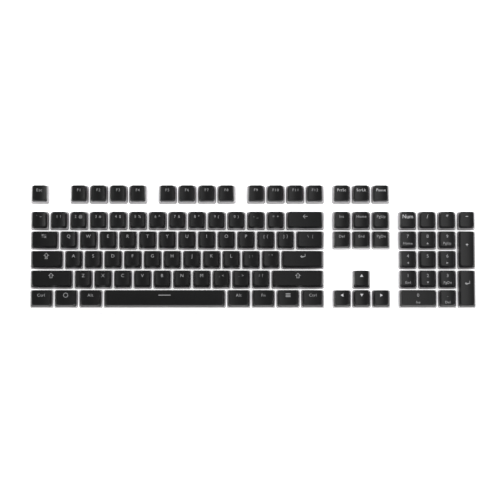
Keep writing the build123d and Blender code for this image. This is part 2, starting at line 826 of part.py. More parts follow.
def make_stand_tip(side):
    """Rubber end of a folding stand, with the tongue that holds it."""
    hinge = hinge_plane(side)
    with BuildPart() as tip:
        with BuildSketch(hinge):
            with Locations((-stand_length - stand_tip / 2, 0)):
                Rectangle(stand_tip, stand_thickness)
        extrude(amount=stand_width / 2, both=True)
        outer = tip.faces().sort_by(Axis.Y)[0].edges().filter_by(Axis.X)
        fillet(outer, stand_tip / 2)
        with BuildSketch(hinge):
            with Locations((tongue_size[2] / 2 - stand_length, 0)):
                Rectangle(tongue_size[2], tongue_size[1])
        extrude(amount=tongue_size[0] / 2, both=True)
    return tip.part


# ---------------------------------------------------------------- pieces of the case and the board
save(make_tray(), "bottom_tray")
save(make_plate(), "switch_plate")
save(make_board(), "circuit_board")
save(make_socket(), "usb_socket")

standoff = make_standoff()
save([copy_at(standoff, Location((x, y, 0))) for x, y in standoff_spots], "plate_standoffs")
screw = make_screw()
save([copy_at(screw, Location((x, y, 0))) for x, y in standoff_spots], "case_screws")
foot = make_foot()
save([copy_at(foot, Location((x, y, 0))) for x, y in pad_spots], "rubber_feet")
lens = make_lens()
save([copy_at(lens, Location((x, y, 0))) for x, y in lens_spots], "indicator_lenses")

lamp = make_box(*lamp_size, board_top)
lamp_spots = [spot * Location((0, lamp_y, 0)) for spot in switch_spots]
lamp_spots += [Location((x, y, 0)) for x, y in lens_spots]
save([copy_at(lamp, spot) for spot in lamp_spots], "board_lamps")
save(
    [
        copy_at(make_box(width, depth, height, board_bottom - height), Location((socket_x + x, gap_line, 0)))
        for x, width, depth, height in chips
    ],
    "board_chips",
)

# ---------------------------------------------------------------- fixed pieces of the switches
base = make_switch_base()
save([copy_at(base, spot) for spot in switch_spots], "switch_bases")
cover = make_switch_cover()
save([copy_at(cover, spot) for spot in switch_spots], "switch_covers")
spring = make_spring()
save([copy_at(spring, spot) for spot in switch_spots], "switch_springs")
blades = [make_blade(*spot) for spot in blade_spots]
save([copy_at(blade, spot) for spot in switch_spots for blade in blades], "switch_contacts")

# ---------------------------------------------------------------- stabilisers
left_guide = make_guide()
right_guide = mirror(left_guide, about=Plane.YZ)
guides = []
for key in wide_keys:
    for guide, side in ((left_guide, -1), (right_guide, 1)):
        guides.append(copy_at(guide, place_of(key) * Location((side * spread_of(key), 0, 0))))
    save(make_wire(spread_of(key)).moved(place_of(key)), f"stabiliser_wire_{key.gang}")
save(guides, "stabiliser_guides")

# ---------------------------------------------------------------- keys
slider = make_slider()
runner = make_runner()
caps = {}
gangs = {}
for key in keys:
    kind = (key.row, key.units, key.tall)
    if kind not in caps:
        long_side = key.units * pitch - cap_gap
        bosses = [(0, 0)]
        if spread_of(key):
            bosses += [(-spread_of(key), 0), (spread_of(key), 0)]
        if key.tall:
            bosses = [(y, x) for x, y in bosses]
            caps[kind] = make_cap(pitch - cap_gap, long_side, tall_height, tall_lean, bosses, False)
        else:
            profile = (row_height[key.row], row_lean[key.row])
            caps[kind] = make_cap(long_side, pitch - cap_gap, *profile, bosses, key.gang == "space")
    pieces = gangs.setdefault(key.gang, [])
    pieces += [copy_at(shot, Location((key.x, key.y, cap_foot))) for shot in caps[kind]]
    pieces.append(copy_at(slider, Location((key.x, key.y, 0))))
    if spread_of(key):
        for side in (-1, 1):
            pieces.append(copy_at(runner, place_of(key) * Location((side * spread_of(key), 0, 0))))
for gang, pieces in gangs.items():
    save(pieces, f"key_{gang}" if len(pieces) < 6 else f"keys_{gang}")

# ---------------------------------------------------------------- folding stands
for side, name in ((-1, "left"), (1, "right")):
    save(make_stand(side), f"tilt_foot_{name}")
    save(make_stand_tip(side), f"tilt_foot_tip_{name}")
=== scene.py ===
"""Full-size mechanical keyboard: two-shot keycaps, legends, springs and finishes round the CAD frame.

Lengths are in metres. +X runs to the typist's right, +Y to the back and +Z up, with the desk at zero.
"""

from __future__ import annotations

import json
import logging
import math
from collections.abc import Callable, Iterable, Sequence
from dataclasses import dataclass
from enum import Enum

import bmesh
import bpy
from mathutils import Matrix, Vector
from mathutils.geometry import tessellate_polygon

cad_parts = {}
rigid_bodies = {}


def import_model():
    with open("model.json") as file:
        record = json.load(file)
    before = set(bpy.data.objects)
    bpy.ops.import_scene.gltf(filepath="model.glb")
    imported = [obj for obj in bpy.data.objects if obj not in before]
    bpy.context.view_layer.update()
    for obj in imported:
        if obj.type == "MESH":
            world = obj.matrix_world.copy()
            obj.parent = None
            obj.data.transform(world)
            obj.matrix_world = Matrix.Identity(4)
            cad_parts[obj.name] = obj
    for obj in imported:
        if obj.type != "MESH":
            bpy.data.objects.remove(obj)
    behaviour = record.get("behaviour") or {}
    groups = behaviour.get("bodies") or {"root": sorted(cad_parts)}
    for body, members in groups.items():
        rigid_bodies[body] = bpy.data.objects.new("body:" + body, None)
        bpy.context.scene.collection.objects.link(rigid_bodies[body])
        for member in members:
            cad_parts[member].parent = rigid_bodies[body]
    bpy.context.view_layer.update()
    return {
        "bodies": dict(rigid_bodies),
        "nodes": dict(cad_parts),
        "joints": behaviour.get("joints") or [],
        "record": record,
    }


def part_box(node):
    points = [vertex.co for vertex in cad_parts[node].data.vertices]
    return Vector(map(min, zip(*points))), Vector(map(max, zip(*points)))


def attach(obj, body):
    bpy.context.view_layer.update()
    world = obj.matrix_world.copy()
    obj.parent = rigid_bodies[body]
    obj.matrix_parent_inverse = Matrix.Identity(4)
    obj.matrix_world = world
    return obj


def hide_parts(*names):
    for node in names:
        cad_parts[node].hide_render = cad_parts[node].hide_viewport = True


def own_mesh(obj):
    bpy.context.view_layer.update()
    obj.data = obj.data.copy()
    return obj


log = logging.getLogger("keyboard")

MM = 0.001

# ---------------------------------------------------------------- grid of keys
PITCH = 19.05 * MM
CLUSTER_GAP = 6.67 * MM
CAP_GAP = 1.0 * MM
NAV_COLUMN = 15.0
PAD_COLUMN = 18.0


class Block(Enum):
    """The three blocks of keys, each by its first column and the gaps on its left."""

    MAIN = (0.0, 0)
    NAV = (NAV_COLUMN, 1)
    PAD = (PAD_COLUMN, 2)

    def edge(self) -> float:
        """Distance from the left end of the key field to this block."""
        column, gaps = self.value
        return column * PITCH + gaps * CLUSTER_GAP


class Lettering(Enum):
    """How a legend is set: type size in millimetres and spacing between its characters."""

    LETTER = (4.5, 1.0)
    PAIR = (3.7, 1.25)
    WORD = (4.0, 1.14)
    LONG = (3.7, 1.1)
    BOLD = (3.75, 1.1)
    MARK = (6.2, 1.0)
    SIGN = (5.2, 1.0)
    SHIFT = (6.4, 1.0)
    SMALL = (3.4, 1.12)
    ARROW = (3.4, 1.0)
    TINY = (2.3, 1.0)
    DASH = (11.6, 1.0)


@dataclass(frozen=True)
class Run:
    """Neighbouring keys of one row that move together.

    Args:
        body: the CAD body that they move with.
        block: the block of keys they are in.
        row: their row, counted from the back.
        column: where the first one starts, in key units from the block's edge.
        legends: one entry for each key; a bar parts the upper legend from the lower one.
        lettering: how the legends are set.
        units: width of each key in key units, or its length if it is tall.
        tall: two rows tall.
    """

    body: str
    block: Block
    row: int
    column: float
    legends: tuple[str, ...]
    lettering: Lettering
    units: float = 1
    tall: bool = False


RUNS: tuple[Run, ...] = (
    Run("key_esc", Block.MAIN, 0, 0, ("Esc",), Lettering.WORD),
    Run("keys_f1_to_f4", Block.MAIN, 0, 2, ("F1", "F2", "F3", "F4"), Lettering.PAIR),
    Run("keys_f5_to_f8", Block.MAIN, 0, 6.5, ("F5", "F6", "F7", "F8"), Lettering.PAIR),
    Run("keys_f9_to_f12", Block.MAIN, 0, 11, ("F9", "F10", "F11", "F12"), Lettering.PAIR),
    Run("keys_print_to_pause", Block.NAV, 0, 0, ("PrtSc", "ScrLk", "Pause"), Lettering.BOLD),
    Run("keys_number_row", Block.MAIN, 1, 0,
        ("` ~", "1 !", "2 @", "3 #", "4 $", "5 %", "6 ^", "7 &", "8 *", "9 (", "0 )", "- _", "= +"), Lettering.PAIR),
    Run("key_backspace", Block.MAIN, 1, 13, ("←",), Lettering.MARK, 2),
    Run("keys_insert_to_page_down", Block.NAV, 1, 0, ("Ins", "Home", "PgUp"), Lettering.LONG),
    Run("keys_insert_to_page_down", Block.NAV, 2, 0, ("Del", "End", "PgDn"), Lettering.LONG),
    Run("key_tab", Block.MAIN, 2, 0, ("↹",), Lettering.LETTER, 1.5),
    Run("keys_top_letter_row", Block.MAIN, 2, 1.5, tuple("QWERTYUIOP"), Lettering.LETTER),
    Run("keys_top_letter_row", Block.MAIN, 2, 11.5, ("[ {", "] }"), Lettering.PAIR),
    Run("key_backslash", Block.MAIN, 2, 13.5, ("\\  |",), Lettering.PAIR, 1.5),
    Run("key_caps_lock", Block.MAIN, 3, 0, ("⇪",), Lettering.SHIFT, 1.75),
    Run("keys_home_letter_row", Block.MAIN, 3, 1.75, tuple("ASDFGHJKL"), Lettering.LETTER),
    Run("keys_home_letter_row", Block.MAIN, 3, 10.75, ("; :", "' \""), Lettering.PAIR),
    Run("key_enter", Block.MAIN, 3, 12.75, ("↵",), Lettering.MARK, 2.25),
    Run("key_left_shift", Block.MAIN, 4, 0, ("⇧",), Lettering.SHIFT, 2.25),
    Run("keys_bottom_letter_row", Block.MAIN, 4, 2.25, tuple("ZXCVBNM"), Lettering.LETTER),
    Run("keys_bottom_letter_row", Block.MAIN, 4, 9.25, (", <", ". >", "/ ?"), Lettering.PAIR),
    Run("key_right_shift", Block.MAIN, 4, 12.25, ("⇧",), Lettering.SHIFT, 2.75),
    Run("key_left_ctrl", Block.MAIN, 5, 0, ("Ctrl",), Lettering.WORD, 1.25),
    Run("key_system", Block.MAIN, 5, 1.25, ("○",), Lettering.MARK, 1.25),
    Run("key_left_alt", Block.MAIN, 5, 2.5, ("Alt",), Lettering.WORD, 1.25),
    Run("key_space", Block.MAIN, 5, 3.75, ("—",), Lettering.DASH, 6.25),
    Run("key_right_alt", Block.MAIN, 5, 10, ("Alt",), Lettering.WORD, 1.25),
    Run("key_fn", Block.MAIN, 5, 11.25, ("Fn",), Lettering.WORD, 1.25),
    Run("key_menu", Block.MAIN, 5, 12.5, ("☰",), Lettering.MARK, 1.25),
    Run("key_right_ctrl", Block.MAIN, 5, 13.75, ("Ctrl",), Lettering.WORD, 1.25),
    Run("key_arrow_up", Block.NAV, 4, 1, ("▲",), Lettering.ARROW),
    Run("key_arrow_left", Block.NAV, 5, 0, ("◀",), Lettering.ARROW),
    Run("key_arrow_down", Block.NAV, 5, 1, ("▼",), Lettering.ARROW),
    Run("key_arrow_right", Block.NAV, 5, 2, ("▶",), Lettering.ARROW),
    Run("keys_numpad", Block.PAD, 1, 0, ("Num", "/", "*", "−"), Lettering.SIGN),
    Run("keys_numpad", Block.PAD, 2, 0, ("7|Home", "8|▲", "9|PgUp"), Lettering.LETTER),
    Run("keys_numpad", Block.PAD, 3, 0, ("4|◀", "5", "6|▶"), Lettering.LETTER),
    Run("keys_numpad", Block.PAD, 4, 0, ("1|End", "2|▼", "3|PgDn"), Lettering.LETTER),
    Run("keys_numpad", Block.PAD, 5, 2, (".|Del",), Lettering.LETTER),
    Run("key_numpad_zero", Block.PAD, 5, 0, ("0|Ins",), Lettering.LETTER, 2),
    Run("key_numpad_plus", Block.PAD, 2, 3, ("+",), Lettering.SIGN, 2, tall=True),
    Run("key_numpad_enter", Block.PAD, 4, 3, ("↵",), Lettering.MARK, 2, tall=True),
)
HOMING_LEGENDS = ("F", "J", "5")

# Rows, back to front: height of the cap and how far its top leans towards the typist, in degrees.
ROW_HEIGHTS = tuple(height * MM for height in (12.0, 11.2, 9.7, 9.1, 9.4, 9.4))
ROW_LEANS = (7.0, 6.0, 3.0, -1.0, -5.0, -5.0)
TALL_HEIGHT = 9.4 * MM
TALL_LEAN = 0.0

# Keys from the first length on ride on stabilisers; one longer than the second is the space bar.
WIDE_UNITS = 2
SPACE_UNITS = 6


# ---------------------------------------------------------------- finishes
MOTTLE_PATCH = 12.0 * MM
GLOSS_PATCH = 5.0 * MM
GLOSS_DETAIL = 4.0
WHITE = (1.0, 1.0, 1.0, 1.0)


@dataclass(frozen=True)
class Finish:
    """A moulded or painted surface: colour, gloss, and grain that is raised by a bump.

    Args:
        name: what the material is called.
        slot: the record's material slot, not used.
        colour: linear colour.
        roughness: mean roughness.
        grain: size of the surface's texture.
        relief: height of that texture.
        mottle: share by which the colour wanders.
        metallic: 1 for bare metal.
        specular: strength of the reflection, 0.5 for plain plastic.
        gloss_swing: how far the roughness wanders either way.
        shine: strength of the even white light that the surface gives off; on a part that is no lamp, such as the
            switch plate, this is a painted glow.
    """

    name: str
    slot: str
    colour: tuple[float, float, float]
    roughness: float = 0.5
    grain: float = 0.3 * MM
    relief: float = 0.01 * MM
    mottle: float = 0.05
    metallic: float = 0.0
    specular: float = 0.5
    gloss_swing: float = 0.08
    shine: float = 0.0

    def make(self) -> bpy.types.Material:
        """Builds the material.

        Returns:
            The new material.
        """
        material = bpy.data.materials.new(self.name)
        material.use_nodes = True
        material.diffuse_color = (*self.colour, 1.0)
        tree = material.node_tree
        shader = tree.nodes["Principled BSDF"]
        shader.inputs["Metallic"].default_value = self.metallic
        shader.inputs["Specular IOR Level"].default_value = self.specular
        # Emission: on the switch plate this is a painted glow, light given off by a part that is no lamp.
        shader.inputs["Emission Color"].default_value = WHITE
        shader.inputs["Emission Strength"].default_value = self.shine
        place = tree.nodes.new("ShaderNodeTexCoord").outputs["Object"]
        self.paint(tree, shader, place)
        self.polish(tree, shader, place)
        self.emboss(tree, shader, place)
        return material

    def noise(
        self, tree: bpy.types.NodeTree, place: bpy.types.NodeSocket, size: float, detail: float = 3.0
    ) -> bpy.types.NodeSocket:
        """Adds a noise of one feature size.

        Args:
            tree: the material's tree.
            place: socket with the coordinates.
            size: size of a feature.
            detail: octaves.

        Returns:
            The noise's value.
        """
        node = tree.nodes.new("ShaderNodeTexNoise")
        node.inputs["Scale"].default_value = 1.0 / size
        node.inputs["Detail"].default_value = detail
        tree.links.new(place, node.inputs["Vector"])
        return node.outputs["Fac"]

    def paint(self, tree: bpy.types.NodeTree, shader: bpy.types.Node, place: bpy.types.NodeSocket) -> None:
        """Lets the colour wander a little over the surface.

        Args:
            tree: the material's tree.
            shader: its shader.
            place: socket with the coordinates.
        """
        mix = tree.nodes.new("ShaderNodeMix")
        mix.data_type = "RGBA"
        mix.inputs["A"].default_value = (*(part * (1.0 - self.mottle) for part in self.colour), 1.0)
        mix.inputs["B"].default_value = (*(min(1.0, part * (1.0 + self.mottle)) for part in self.colour), 1.0)
        tree.links.new(self.noise(tree, place, MOTTLE_PATCH), mix.inputs["Factor"])
        tree.links.new(mix.outputs["Result"], shader.inputs["Base Color"])

    def polish(self, tree: bpy.types.NodeTree, shader: bpy.types.Node, place: bpy.types.NodeSocket) -> None:
        """Makes the gloss uneven, as handled and moulded surfaces are.

        Args:
            tree: the material's tree.
            shader: its shader.
            place: socket with the coordinates.
        """
        span = tree.nodes.new("ShaderNodeMapRange")
        span.inputs["To Min"].default_value = self.roughness - self.gloss_swing
        span.inputs["To Max"].default_value = self.roughness + self.gloss_swing
        tree.links.new(self.noise(tree, place, GLOSS_PATCH, GLOSS_DETAIL), span.inputs["Value"])
        tree.links.new(span.outputs["Result"], shader.inputs["Roughness"])

    def emboss(self, tree: bpy.types.NodeTree, shader: bpy.types.Node, place: bpy.types.NodeSocket) -> None:
        """Raises the grain.

        Args:
            tree: the material's tree.
            shader: its shader.
            place: socket with the coordinates.
        """
        bump = tree.nodes.new("ShaderNodeBump")
        bump.inputs["Strength"].default_value = 1.0
        bump.inputs["Distance"].default_value = self.relief
        tree.links.new(self.noise(tree, place, self.grain), bump.inputs["Height"])
        tree.links.new(bump.outputs["Normal"], shader.inputs["Normal"])


@dataclass(frozen=True)
class MilkyFinish(Finish):
    """Translucent plastic that carries light a few millimetres under its surface.

    Args:
        depth: how far the light goes.
        glow: share of the light that goes in.
        reach: how far red, green and blue go, as shares of the depth.
    """

    depth: float = 1.5 * MM
    glow: float = 0.5
    reach: tuple[float, float, float] = (1.0, 0.98, 0.95)

    def make(self) -> bpy.types.Material:
        """Builds the material with light scattering inside it.

        Returns:
            The new material.
        """
        material = super().make()
        shader = material.node_tree.nodes["Principled BSDF"]
        shader.inputs["Subsurface Weight"].default_value = self.glow
        shader.inputs["Subsurface Radius"].default_value = self.reach
        shader.inputs["Subsurface Scale"].default_value = self.depth
        return material


@dataclass(frozen=True)
class BrushedFinish(Finish):
    """Metal with fine lines along one direction."""

    stretch: tuple[float, float, float] = (0.05, 1.0, 1.0)

    def emboss(self, tree: bpy.types.NodeTree, shader: bpy.types.Node, place: bpy.types.NodeSocket) -> None:
        """Raises fine lines in place of an even grain.

        Args:
            tree: the material's tree.
            shader: its shader.
            place: socket with the coordinates.
        """
        mapping = tree.nodes.new("ShaderNodeMapping")
        mapping.inputs["Scale"].default_value = self.stretch
        tree.links.new(place, mapping.inputs["Vector"])
        super().emboss(tree, shader, mapping.outputs["Vector"])


@dataclass(frozen=True)
class BoardFinish(Finish):
    """Solder mask, with the tracks under it showing as lighter lines.

    Args:
        track: distance between tracks.
        line: width of a track, as a share of that distance.
        shade: brightness of every second field.
        gleam: brightness of a track.
    """

    track: float = 1.6 * MM
    line: float = 0.12
    shade: float = 0.9
    gleam: float = 2.2

    def paint(self, tree: bpy.types.NodeTree, shader: bpy.types.Node, place: bpy.types.NodeSocket) -> None:
        """Paints the mask and its tracks.

        Args:
            tree: the material's tree.
            shader: its shader.
            place: socket with the coordinates.
        """
        cells = tree.nodes.new("ShaderNodeTexBrick")
        cells.inputs["Scale"].default_value = 1.0 / self.track
        cells.inputs["Mortar Size"].default_value = self.line
        cells.inputs["Color1"].default_value = (*self.colour, 1.0)
        cells.inputs["Color2"].default_value = (*(part * self.shade for part in self.colour), 1.0)
        cells.inputs["Mortar"].default_value = (*(min(1.0, part * self.gleam) for part in self.colour), 1.0)
        tree.links.new(place, cells.inputs["Vector"])
        tree.links.new(cells.outputs["Color"], shader.inputs["Base Color"])


CAP_BLACK = Finish(
    "cap_black", "keycap_black", (0.0042, 0.0042, 0.0044), roughness=0.32, grain=0.22 * MM, relief=0.008 * MM,
    mottle=0.12, specular=0.2, gloss_swing=0.04,
)
CAP_MILKY = MilkyFinish(
    "cap_milky", "milky", (0.42, 0.407, 0.42), roughness=0.42, grain=0.5 * MM, relief=0.006 * MM, mottle=0.04,
    specular=0.35,
)
LEGEND_PALE = Finish(
    "legend_pale", "milky", (0.42, 0.42, 0.43), roughness=0.5, grain=0.2 * MM, relief=0.004 * MM, mottle=0.1,
    specular=0.3,
)
LEGEND_GREY = Finish(
    "legend_grey", "milky", (0.23, 0.23, 0.235), roughness=0.5, grain=0.2 * MM, relief=0.004 * MM, mottle=0.1,
    specular=0.3,
)
# A light grey, so that the tray stands out from a white table.
CASE_WHITE = Finish(
    "case_white", "white_case", (0.5, 0.5, 0.505), roughness=0.45, grain=0.4 * MM, relief=0.012 * MM, mottle=0.02,
)
# Painted glow: the white plate gives off an even light of its own, though it is no lamp, so the shaded gaps between
# the caps look lit.
PLATE_WHITE_PAINTED_GLOW = Finish(
    "plate_white_painted_glow", "white_plate", (0.9, 0.9, 0.9), roughness=0.5, grain=0.25 * MM, relief=0.02 * MM, mottle=0.02,
    shine=0.68,
)
SLIDER_BLACK = Finish(
    "slider_black", "housing_black", (0.025, 0.025, 0.027), roughness=0.35, grain=0.4 * MM, relief=0.004 * MM,
)
HOUSING_BLACK = Finish(
    "housing_black", "housing_black", (0.03, 0.03, 0.032), roughness=0.4, grain=0.3 * MM, relief=0.008 * MM,
)
HOUSING_CLEAR = MilkyFinish(
    "housing_clear", "clear_housing", (0.8, 0.81, 0.83), roughness=0.18, grain=0.6 * MM, relief=0.003 * MM,
    glow=0.35,
)
SPRING_STEEL = Finish(
    "spring_steel", "steel", (0.62, 0.62, 0.63), roughness=0.25, grain=0.2 * MM, relief=0.002 * MM, metallic=1.0,
)
BRIGHT_STEEL = BrushedFinish(
    "bright_steel", "steel", (0.6, 0.6, 0.61), roughness=0.3, grain=0.15 * MM, relief=0.003 * MM, metallic=1.0,
)
TURNED_BRASS = BrushedFinish(
    "turned_brass", "brass", (0.72, 0.53, 0.25), roughness=0.3, grain=0.2 * MM, relief=0.003 * MM, metallic=1.0,
    stretch=(1.0, 1.0, 6.0),
)
CONTACT_METAL = BrushedFinish(
    "contact_metal", "contact_metal", (0.75, 0.5, 0.3), roughness=0.25, grain=0.2 * MM, relief=0.002 * MM,
    metallic=1.0,
)
RUBBER_DARK = Finish(
    "rubber_dark", "rubber", (0.035, 0.035, 0.036), roughness=0.85, grain=0.35 * MM, relief=0.03 * MM, mottle=0.15,
    specular=0.25,
)
CHIP_EPOXY = Finish(
    "chip_epoxy", "chip_black", (0.02, 0.02, 0.022), roughness=0.6, grain=0.1 * MM, relief=0.006 * MM,
)
LAMP_CLEAR = MilkyFinish(
    "lamp_clear", "milky", (0.82, 0.82, 0.78), roughness=0.15, grain=0.5 * MM, relief=0.002 * MM, depth=0.8 * MM,
)
BOARD_MASK = BoardFinish(
    "board_mask", "board", (0.012, 0.05, 0.035), roughness=0.3, grain=0.8 * MM, relief=0.01 * MM,
)
TABLE_WHITE = Finish(
    "table_white", "", (0.93, 0.93, 0.93), roughness=0.8, relief=0.002 * MM, mottle=0.0, specular=0.2, shine=0.3,
)

# Finish of each CAD node that is shown as it is.
NODE_FINISHES: dict[str, Finish] = {
    "bottom_tray": CASE_WHITE,
    # The switch plate's finish carries a painted glow.
    "switch_plate": PLATE_WHITE_PAINTED_GLOW,
    "circuit_board": BOARD_MASK,
    "usb_socket": BRIGHT_STEEL,
    "plate_standoffs": TURNED_BRASS,
    "case_screws": BRIGHT_STEEL,
    "rubber_feet": RUBBER_DARK,
    "indicator_lenses": LAMP_CLEAR,
    "board_lamps": LAMP_CLEAR,
    "board_chips": CHIP_EPOXY,
    "switch_bases": HOUSING_BLACK,
    "switch_covers": HOUSING_CLEAR,
    "switch_contacts": CONTACT_METAL,
    "stabiliser_guides": HOUSING_BLACK,
    "tilt_foot_left": CASE_WHITE,
    "tilt_foot_right": CASE_WHITE,
    "tilt_foot_tip_left": RUBBER_DARK,
    "tilt_foot_tip_right": RUBBER_DARK,
}


class Paintbox:
    """Makes each finish's material once."""

    def __init__(self) -> None:
        """Starts with no material made."""
        self.made: dict[str, bpy.types.Material] = {}

    def of(self, finish: Finish) -> bpy.types.Material:
        """The material of a finish.

        Args:
            finish: the finish.

        Returns:
            Its material, made when it is first asked for.
        """
        if finish.name not in self.made:
            self.made[finish.name] = finish.make()
        return self.made[finish.name]


# ---------------------------------------------------------------- mesh helpers
Outline = Sequence[tuple[float, float]]
Surface = Callable[[float, float], float]
CREASE = math.radians(35)
EASE_STEPS = 2


def circle(radius: float, sides: int, start: float = 0.0) -> list[tuple[float, float]]:
    """Corners of a regular outline round the origin, anticlockwise from an angle."""
    angles = [start + math.tau * step / sides for step in range(sides)]
    return [(radius * math.cos(angle), radius * math.sin(angle)) for angle in angles]


class Skin:
    """A closed surface that is built up ring by ring."""

    def __init__(self) -> None:
        """Starts an empty mesh."""
        self.bm = bmesh.new()

    def ring(self, points: Iterable[Vector]) -> list[bmesh.types.BMVert]:
        """Adds a row of points."""
        return [self.bm.verts.new(point) for point in points]

    def level(self, outline: Outline, z: float, middle: Vector = Vector()) -> list[bmesh.types.BMVert]:
        """Adds a level row of points, from an outline round a middle."""
        return self.ring(Vector((middle.x + x, middle.y + y, z)) for x, y in outline)

    def band(self, low: Sequence[bmesh.types.BMVert], high: Sequence[bmesh.types.BMVert]) -> None:
        """Joins two rows of equal length with a band of quads.

        Args:
            low: one row.
            high: the other row, in the same order.
        """
        count = len(low)
        for here in range(count):
            after = (here + 1) % count
            self.bm.faces.new((low[here], low[after], high[after], high[here]))

    def lid(self, rim: Sequence[bmesh.types.BMVert], across: int, height: Surface) -> None:
        """Fills a row with a grid whose height follows a function.

        Args:
            rim: the row, starting at the front left corner and running anticlockwise.
            across: number of steps along the front side.
            height: height of the surface at x and y.
        """
        along = len(rim) // 2 - across
        grid: list[list[bmesh.types.BMVert | None]] = [[None] * (along + 1) for _ in range(across + 1)]
        for i in range(across + 1):
            grid[i][0] = rim[i]
            grid[i][along] = rim[(2 * across + along - i) % len(rim)]
        for j in range(along + 1):
            grid[across][j] = rim[across + j]
            grid[0][j] = rim[(len(rim) - j) % len(rim)]
        corner = [grid[0][0].co, grid[across][0].co, grid[across][along].co, grid[0][along].co]
        for i in range(1, across):
            u = i / across
            for j in range(1, along):
                v = j / along
                spot = (
                    grid[i][0].co * (1 - v) + grid[i][along].co * v + grid[0][j].co * (1 - u)
                    + grid[across][j].co * u - corner[0] * (1 - u) * (1 - v) - corner[1] * u * (1 - v)
                    - corner[2] * u * v - corner[3] * (1 - u) * v
                )
                grid[i][j] = self.bm.verts.new((spot.x, spot.y, height(spot.x, spot.y)))
        for i in range(across):
            for j in range(along):
                self.bm.faces.new((grid[i][j], grid[i + 1][j], grid[i + 1][j + 1], grid[i][j + 1]))

    def block(self, low: Vector, high: Vector, edge: float) -> None:
        """Adds a box with eased edges between two corners.

        Args:
            low: lowest corner.
            high: highest corner.
            edge: width of the eased edges.
        """
        made = bmesh.ops.create_cube(self.bm, size=1.0)["verts"]
        for vert in made:
            vert.co = Vector(low[i] + (vert.co[i] + 0.5) * (high[i] - low[i]) for i in range(3))
        edges = list(dict.fromkeys(link for vert in made for link in vert.link_edges))
        bmesh.ops.bevel(self.bm, geom=edges, offset=edge, segments=EASE_STEPS, affect="EDGES")

    def settle(self) -> None:
        """Sorts the faces by their three lowest corners, because faces made after a bevel come in any order."""
        self.bm.verts.index_update()
        count = len(self.bm.verts)

        def rank(face: bmesh.types.BMFace) -> float:
            """Place of a face in the order."""
            first, second, third = sorted(vert.index for vert in face.verts)[:3]
            return float((first * count + second) * count + third)

        self.bm.faces.sort(key=rank)

    def mesh(self, name: str, crease: float = CREASE) -> bpy.types.Mesh:
        """Finishes the surface.

        Args:
            name: the mesh's name.
            crease: edges that turn by more than this stay sharp.

        Returns:
            The mesh, smooth between its creases and facing outwards.
        """
        bmesh.ops.recalc_face_normals(self.bm, faces=self.bm.faces)
        self.settle()
        mesh = bpy.data.meshes.new(name)
        self.bm.to_mesh(mesh)
        self.bm.free()
        for face in mesh.polygons:
            face.use_smooth = True
        mesh.set_sharp_from_angle(angle=crease)
        return mesh


def place_in_scene(name: str, mesh: bpy.types.Mesh) -> bpy.types.Object:
    """Puts a mesh into the scene as an object at the origin.

    Args:
        name: the object's name.
        mesh: its mesh, already in place.

    Returns:
        The object.
    """
    piece = bpy.data.objects.new(name, mesh)
    bpy.context.scene.collection.objects.link(piece)
    return piece


class Repeater:
    """Geometry Nodes tree that sets a copy of one shape at each point and gives it its material."""

    def __init__(self) -> None:
        """Builds the tree once."""
        tree = bpy.data.node_groups.new("repeat_shape", "GeometryNodeTree")
        face = tree.interface
        face.new_socket("Places", in_out="INPUT", socket_type="NodeSocketGeometry")
        self.shape = face.new_socket("Shape", in_out="INPUT", socket_type="NodeSocketObject").identifier
        face.new_socket("Size", in_out="INPUT", socket_type="NodeSocketFloat").default_value = 1.0
        self.finish = face.new_socket("Finish", in_out="INPUT", socket_type="NodeSocketMaterial").identifier
        face.new_socket("Copies", in_out="OUTPUT", socket_type="NodeSocketGeometry")
        ins = tree.nodes.new("NodeGroupInput")
        outs = tree.nodes.new("NodeGroupOutput")
        shape = tree.nodes.new("GeometryNodeObjectInfo")
        copies = tree.nodes.new("GeometryNodeInstanceOnPoints")
        real = tree.nodes.new("GeometryNodeRealizeInstances")
        dress = tree.nodes.new("GeometryNodeSetMaterial")
        join = tree.links.new
        join(ins.outputs["Shape"], shape.inputs["Object"])
        join(ins.outputs["Places"], copies.inputs["Points"])
        join(shape.outputs["Geometry"], copies.inputs["Instance"])
        join(ins.outputs["Size"], copies.inputs["Scale"])
        join(copies.outputs["Instances"], real.inputs["Geometry"])
        join(real.outputs["Geometry"], dress.inputs["Geometry"])
        join(ins.outputs["Finish"], dress.inputs["Material"])
        join(dress.outputs["Geometry"], outs.inputs["Copies"])
        self.tree = tree

    def run(
        self, shape: bpy.types.Mesh, places: Sequence[Vector], material: bpy.types.Material
    ) -> bpy.types.Mesh:
        """Copies a shape to every place.

        Args:
            shape: the mesh to repeat, made round the origin.
            places: where the copies go.
            material: what they are made of.

        Returns:
            One plain mesh with all the copies.
        """
        source = place_in_scene("shape_source", shape)
        dots = bpy.data.meshes.new("places")
        dots.from_pydata([tuple(place) for place in places], [], [])
        carrier = place_in_scene("copies", dots)
        modifier = carrier.modifiers.new("repeat", "NODES")
        modifier.node_group = self.tree
        modifier[self.shape] = source
        modifier[self.finish] = material
        graph = bpy.context.evaluated_depsgraph_get()
        result = bpy.data.meshes.new_from_object(carrier.evaluated_get(graph))
        bpy.data.objects.remove(carrier)
        bpy.data.objects.remove(source)
        bpy.data.meshes.remove(dots)
        return result


def merge(name: str, meshes: Sequence[bpy.types.Mesh], material: bpy.types.Material) -> bpy.types.Object:
    """Joins meshes of one material into one piece.

    Args:
        name: the piece's name.
        meshes: what it is made of; they are used up.
        material: its material.

    Returns:
        The piece, at the origin.
    """
    bm = bmesh.new()
    for mesh in meshes:
        bm.from_mesh(mesh)
        bpy.data.meshes.remove(mesh)
    whole = bpy.data.meshes.new(name)
    bm.to_mesh(whole)
    bm.free()
    for face in whole.polygons:
        face.material_index = 0
    whole.materials.clear()
    whole.materials.append(material)
    return place_in_scene(name, whole)


# ---------------------------------------------------------------- keycaps
CORNER_STEPS = 3
FIRST_CORNER = 225
HALF_CORNER = math.radians(45)


@dataclass(frozen=True)
class RimSpot:
    """One point of a rounded rectangle: its place between the corner centres and its outward direction."""

    along_x: float
    along_y: float
    out_x: float
    out_y: float


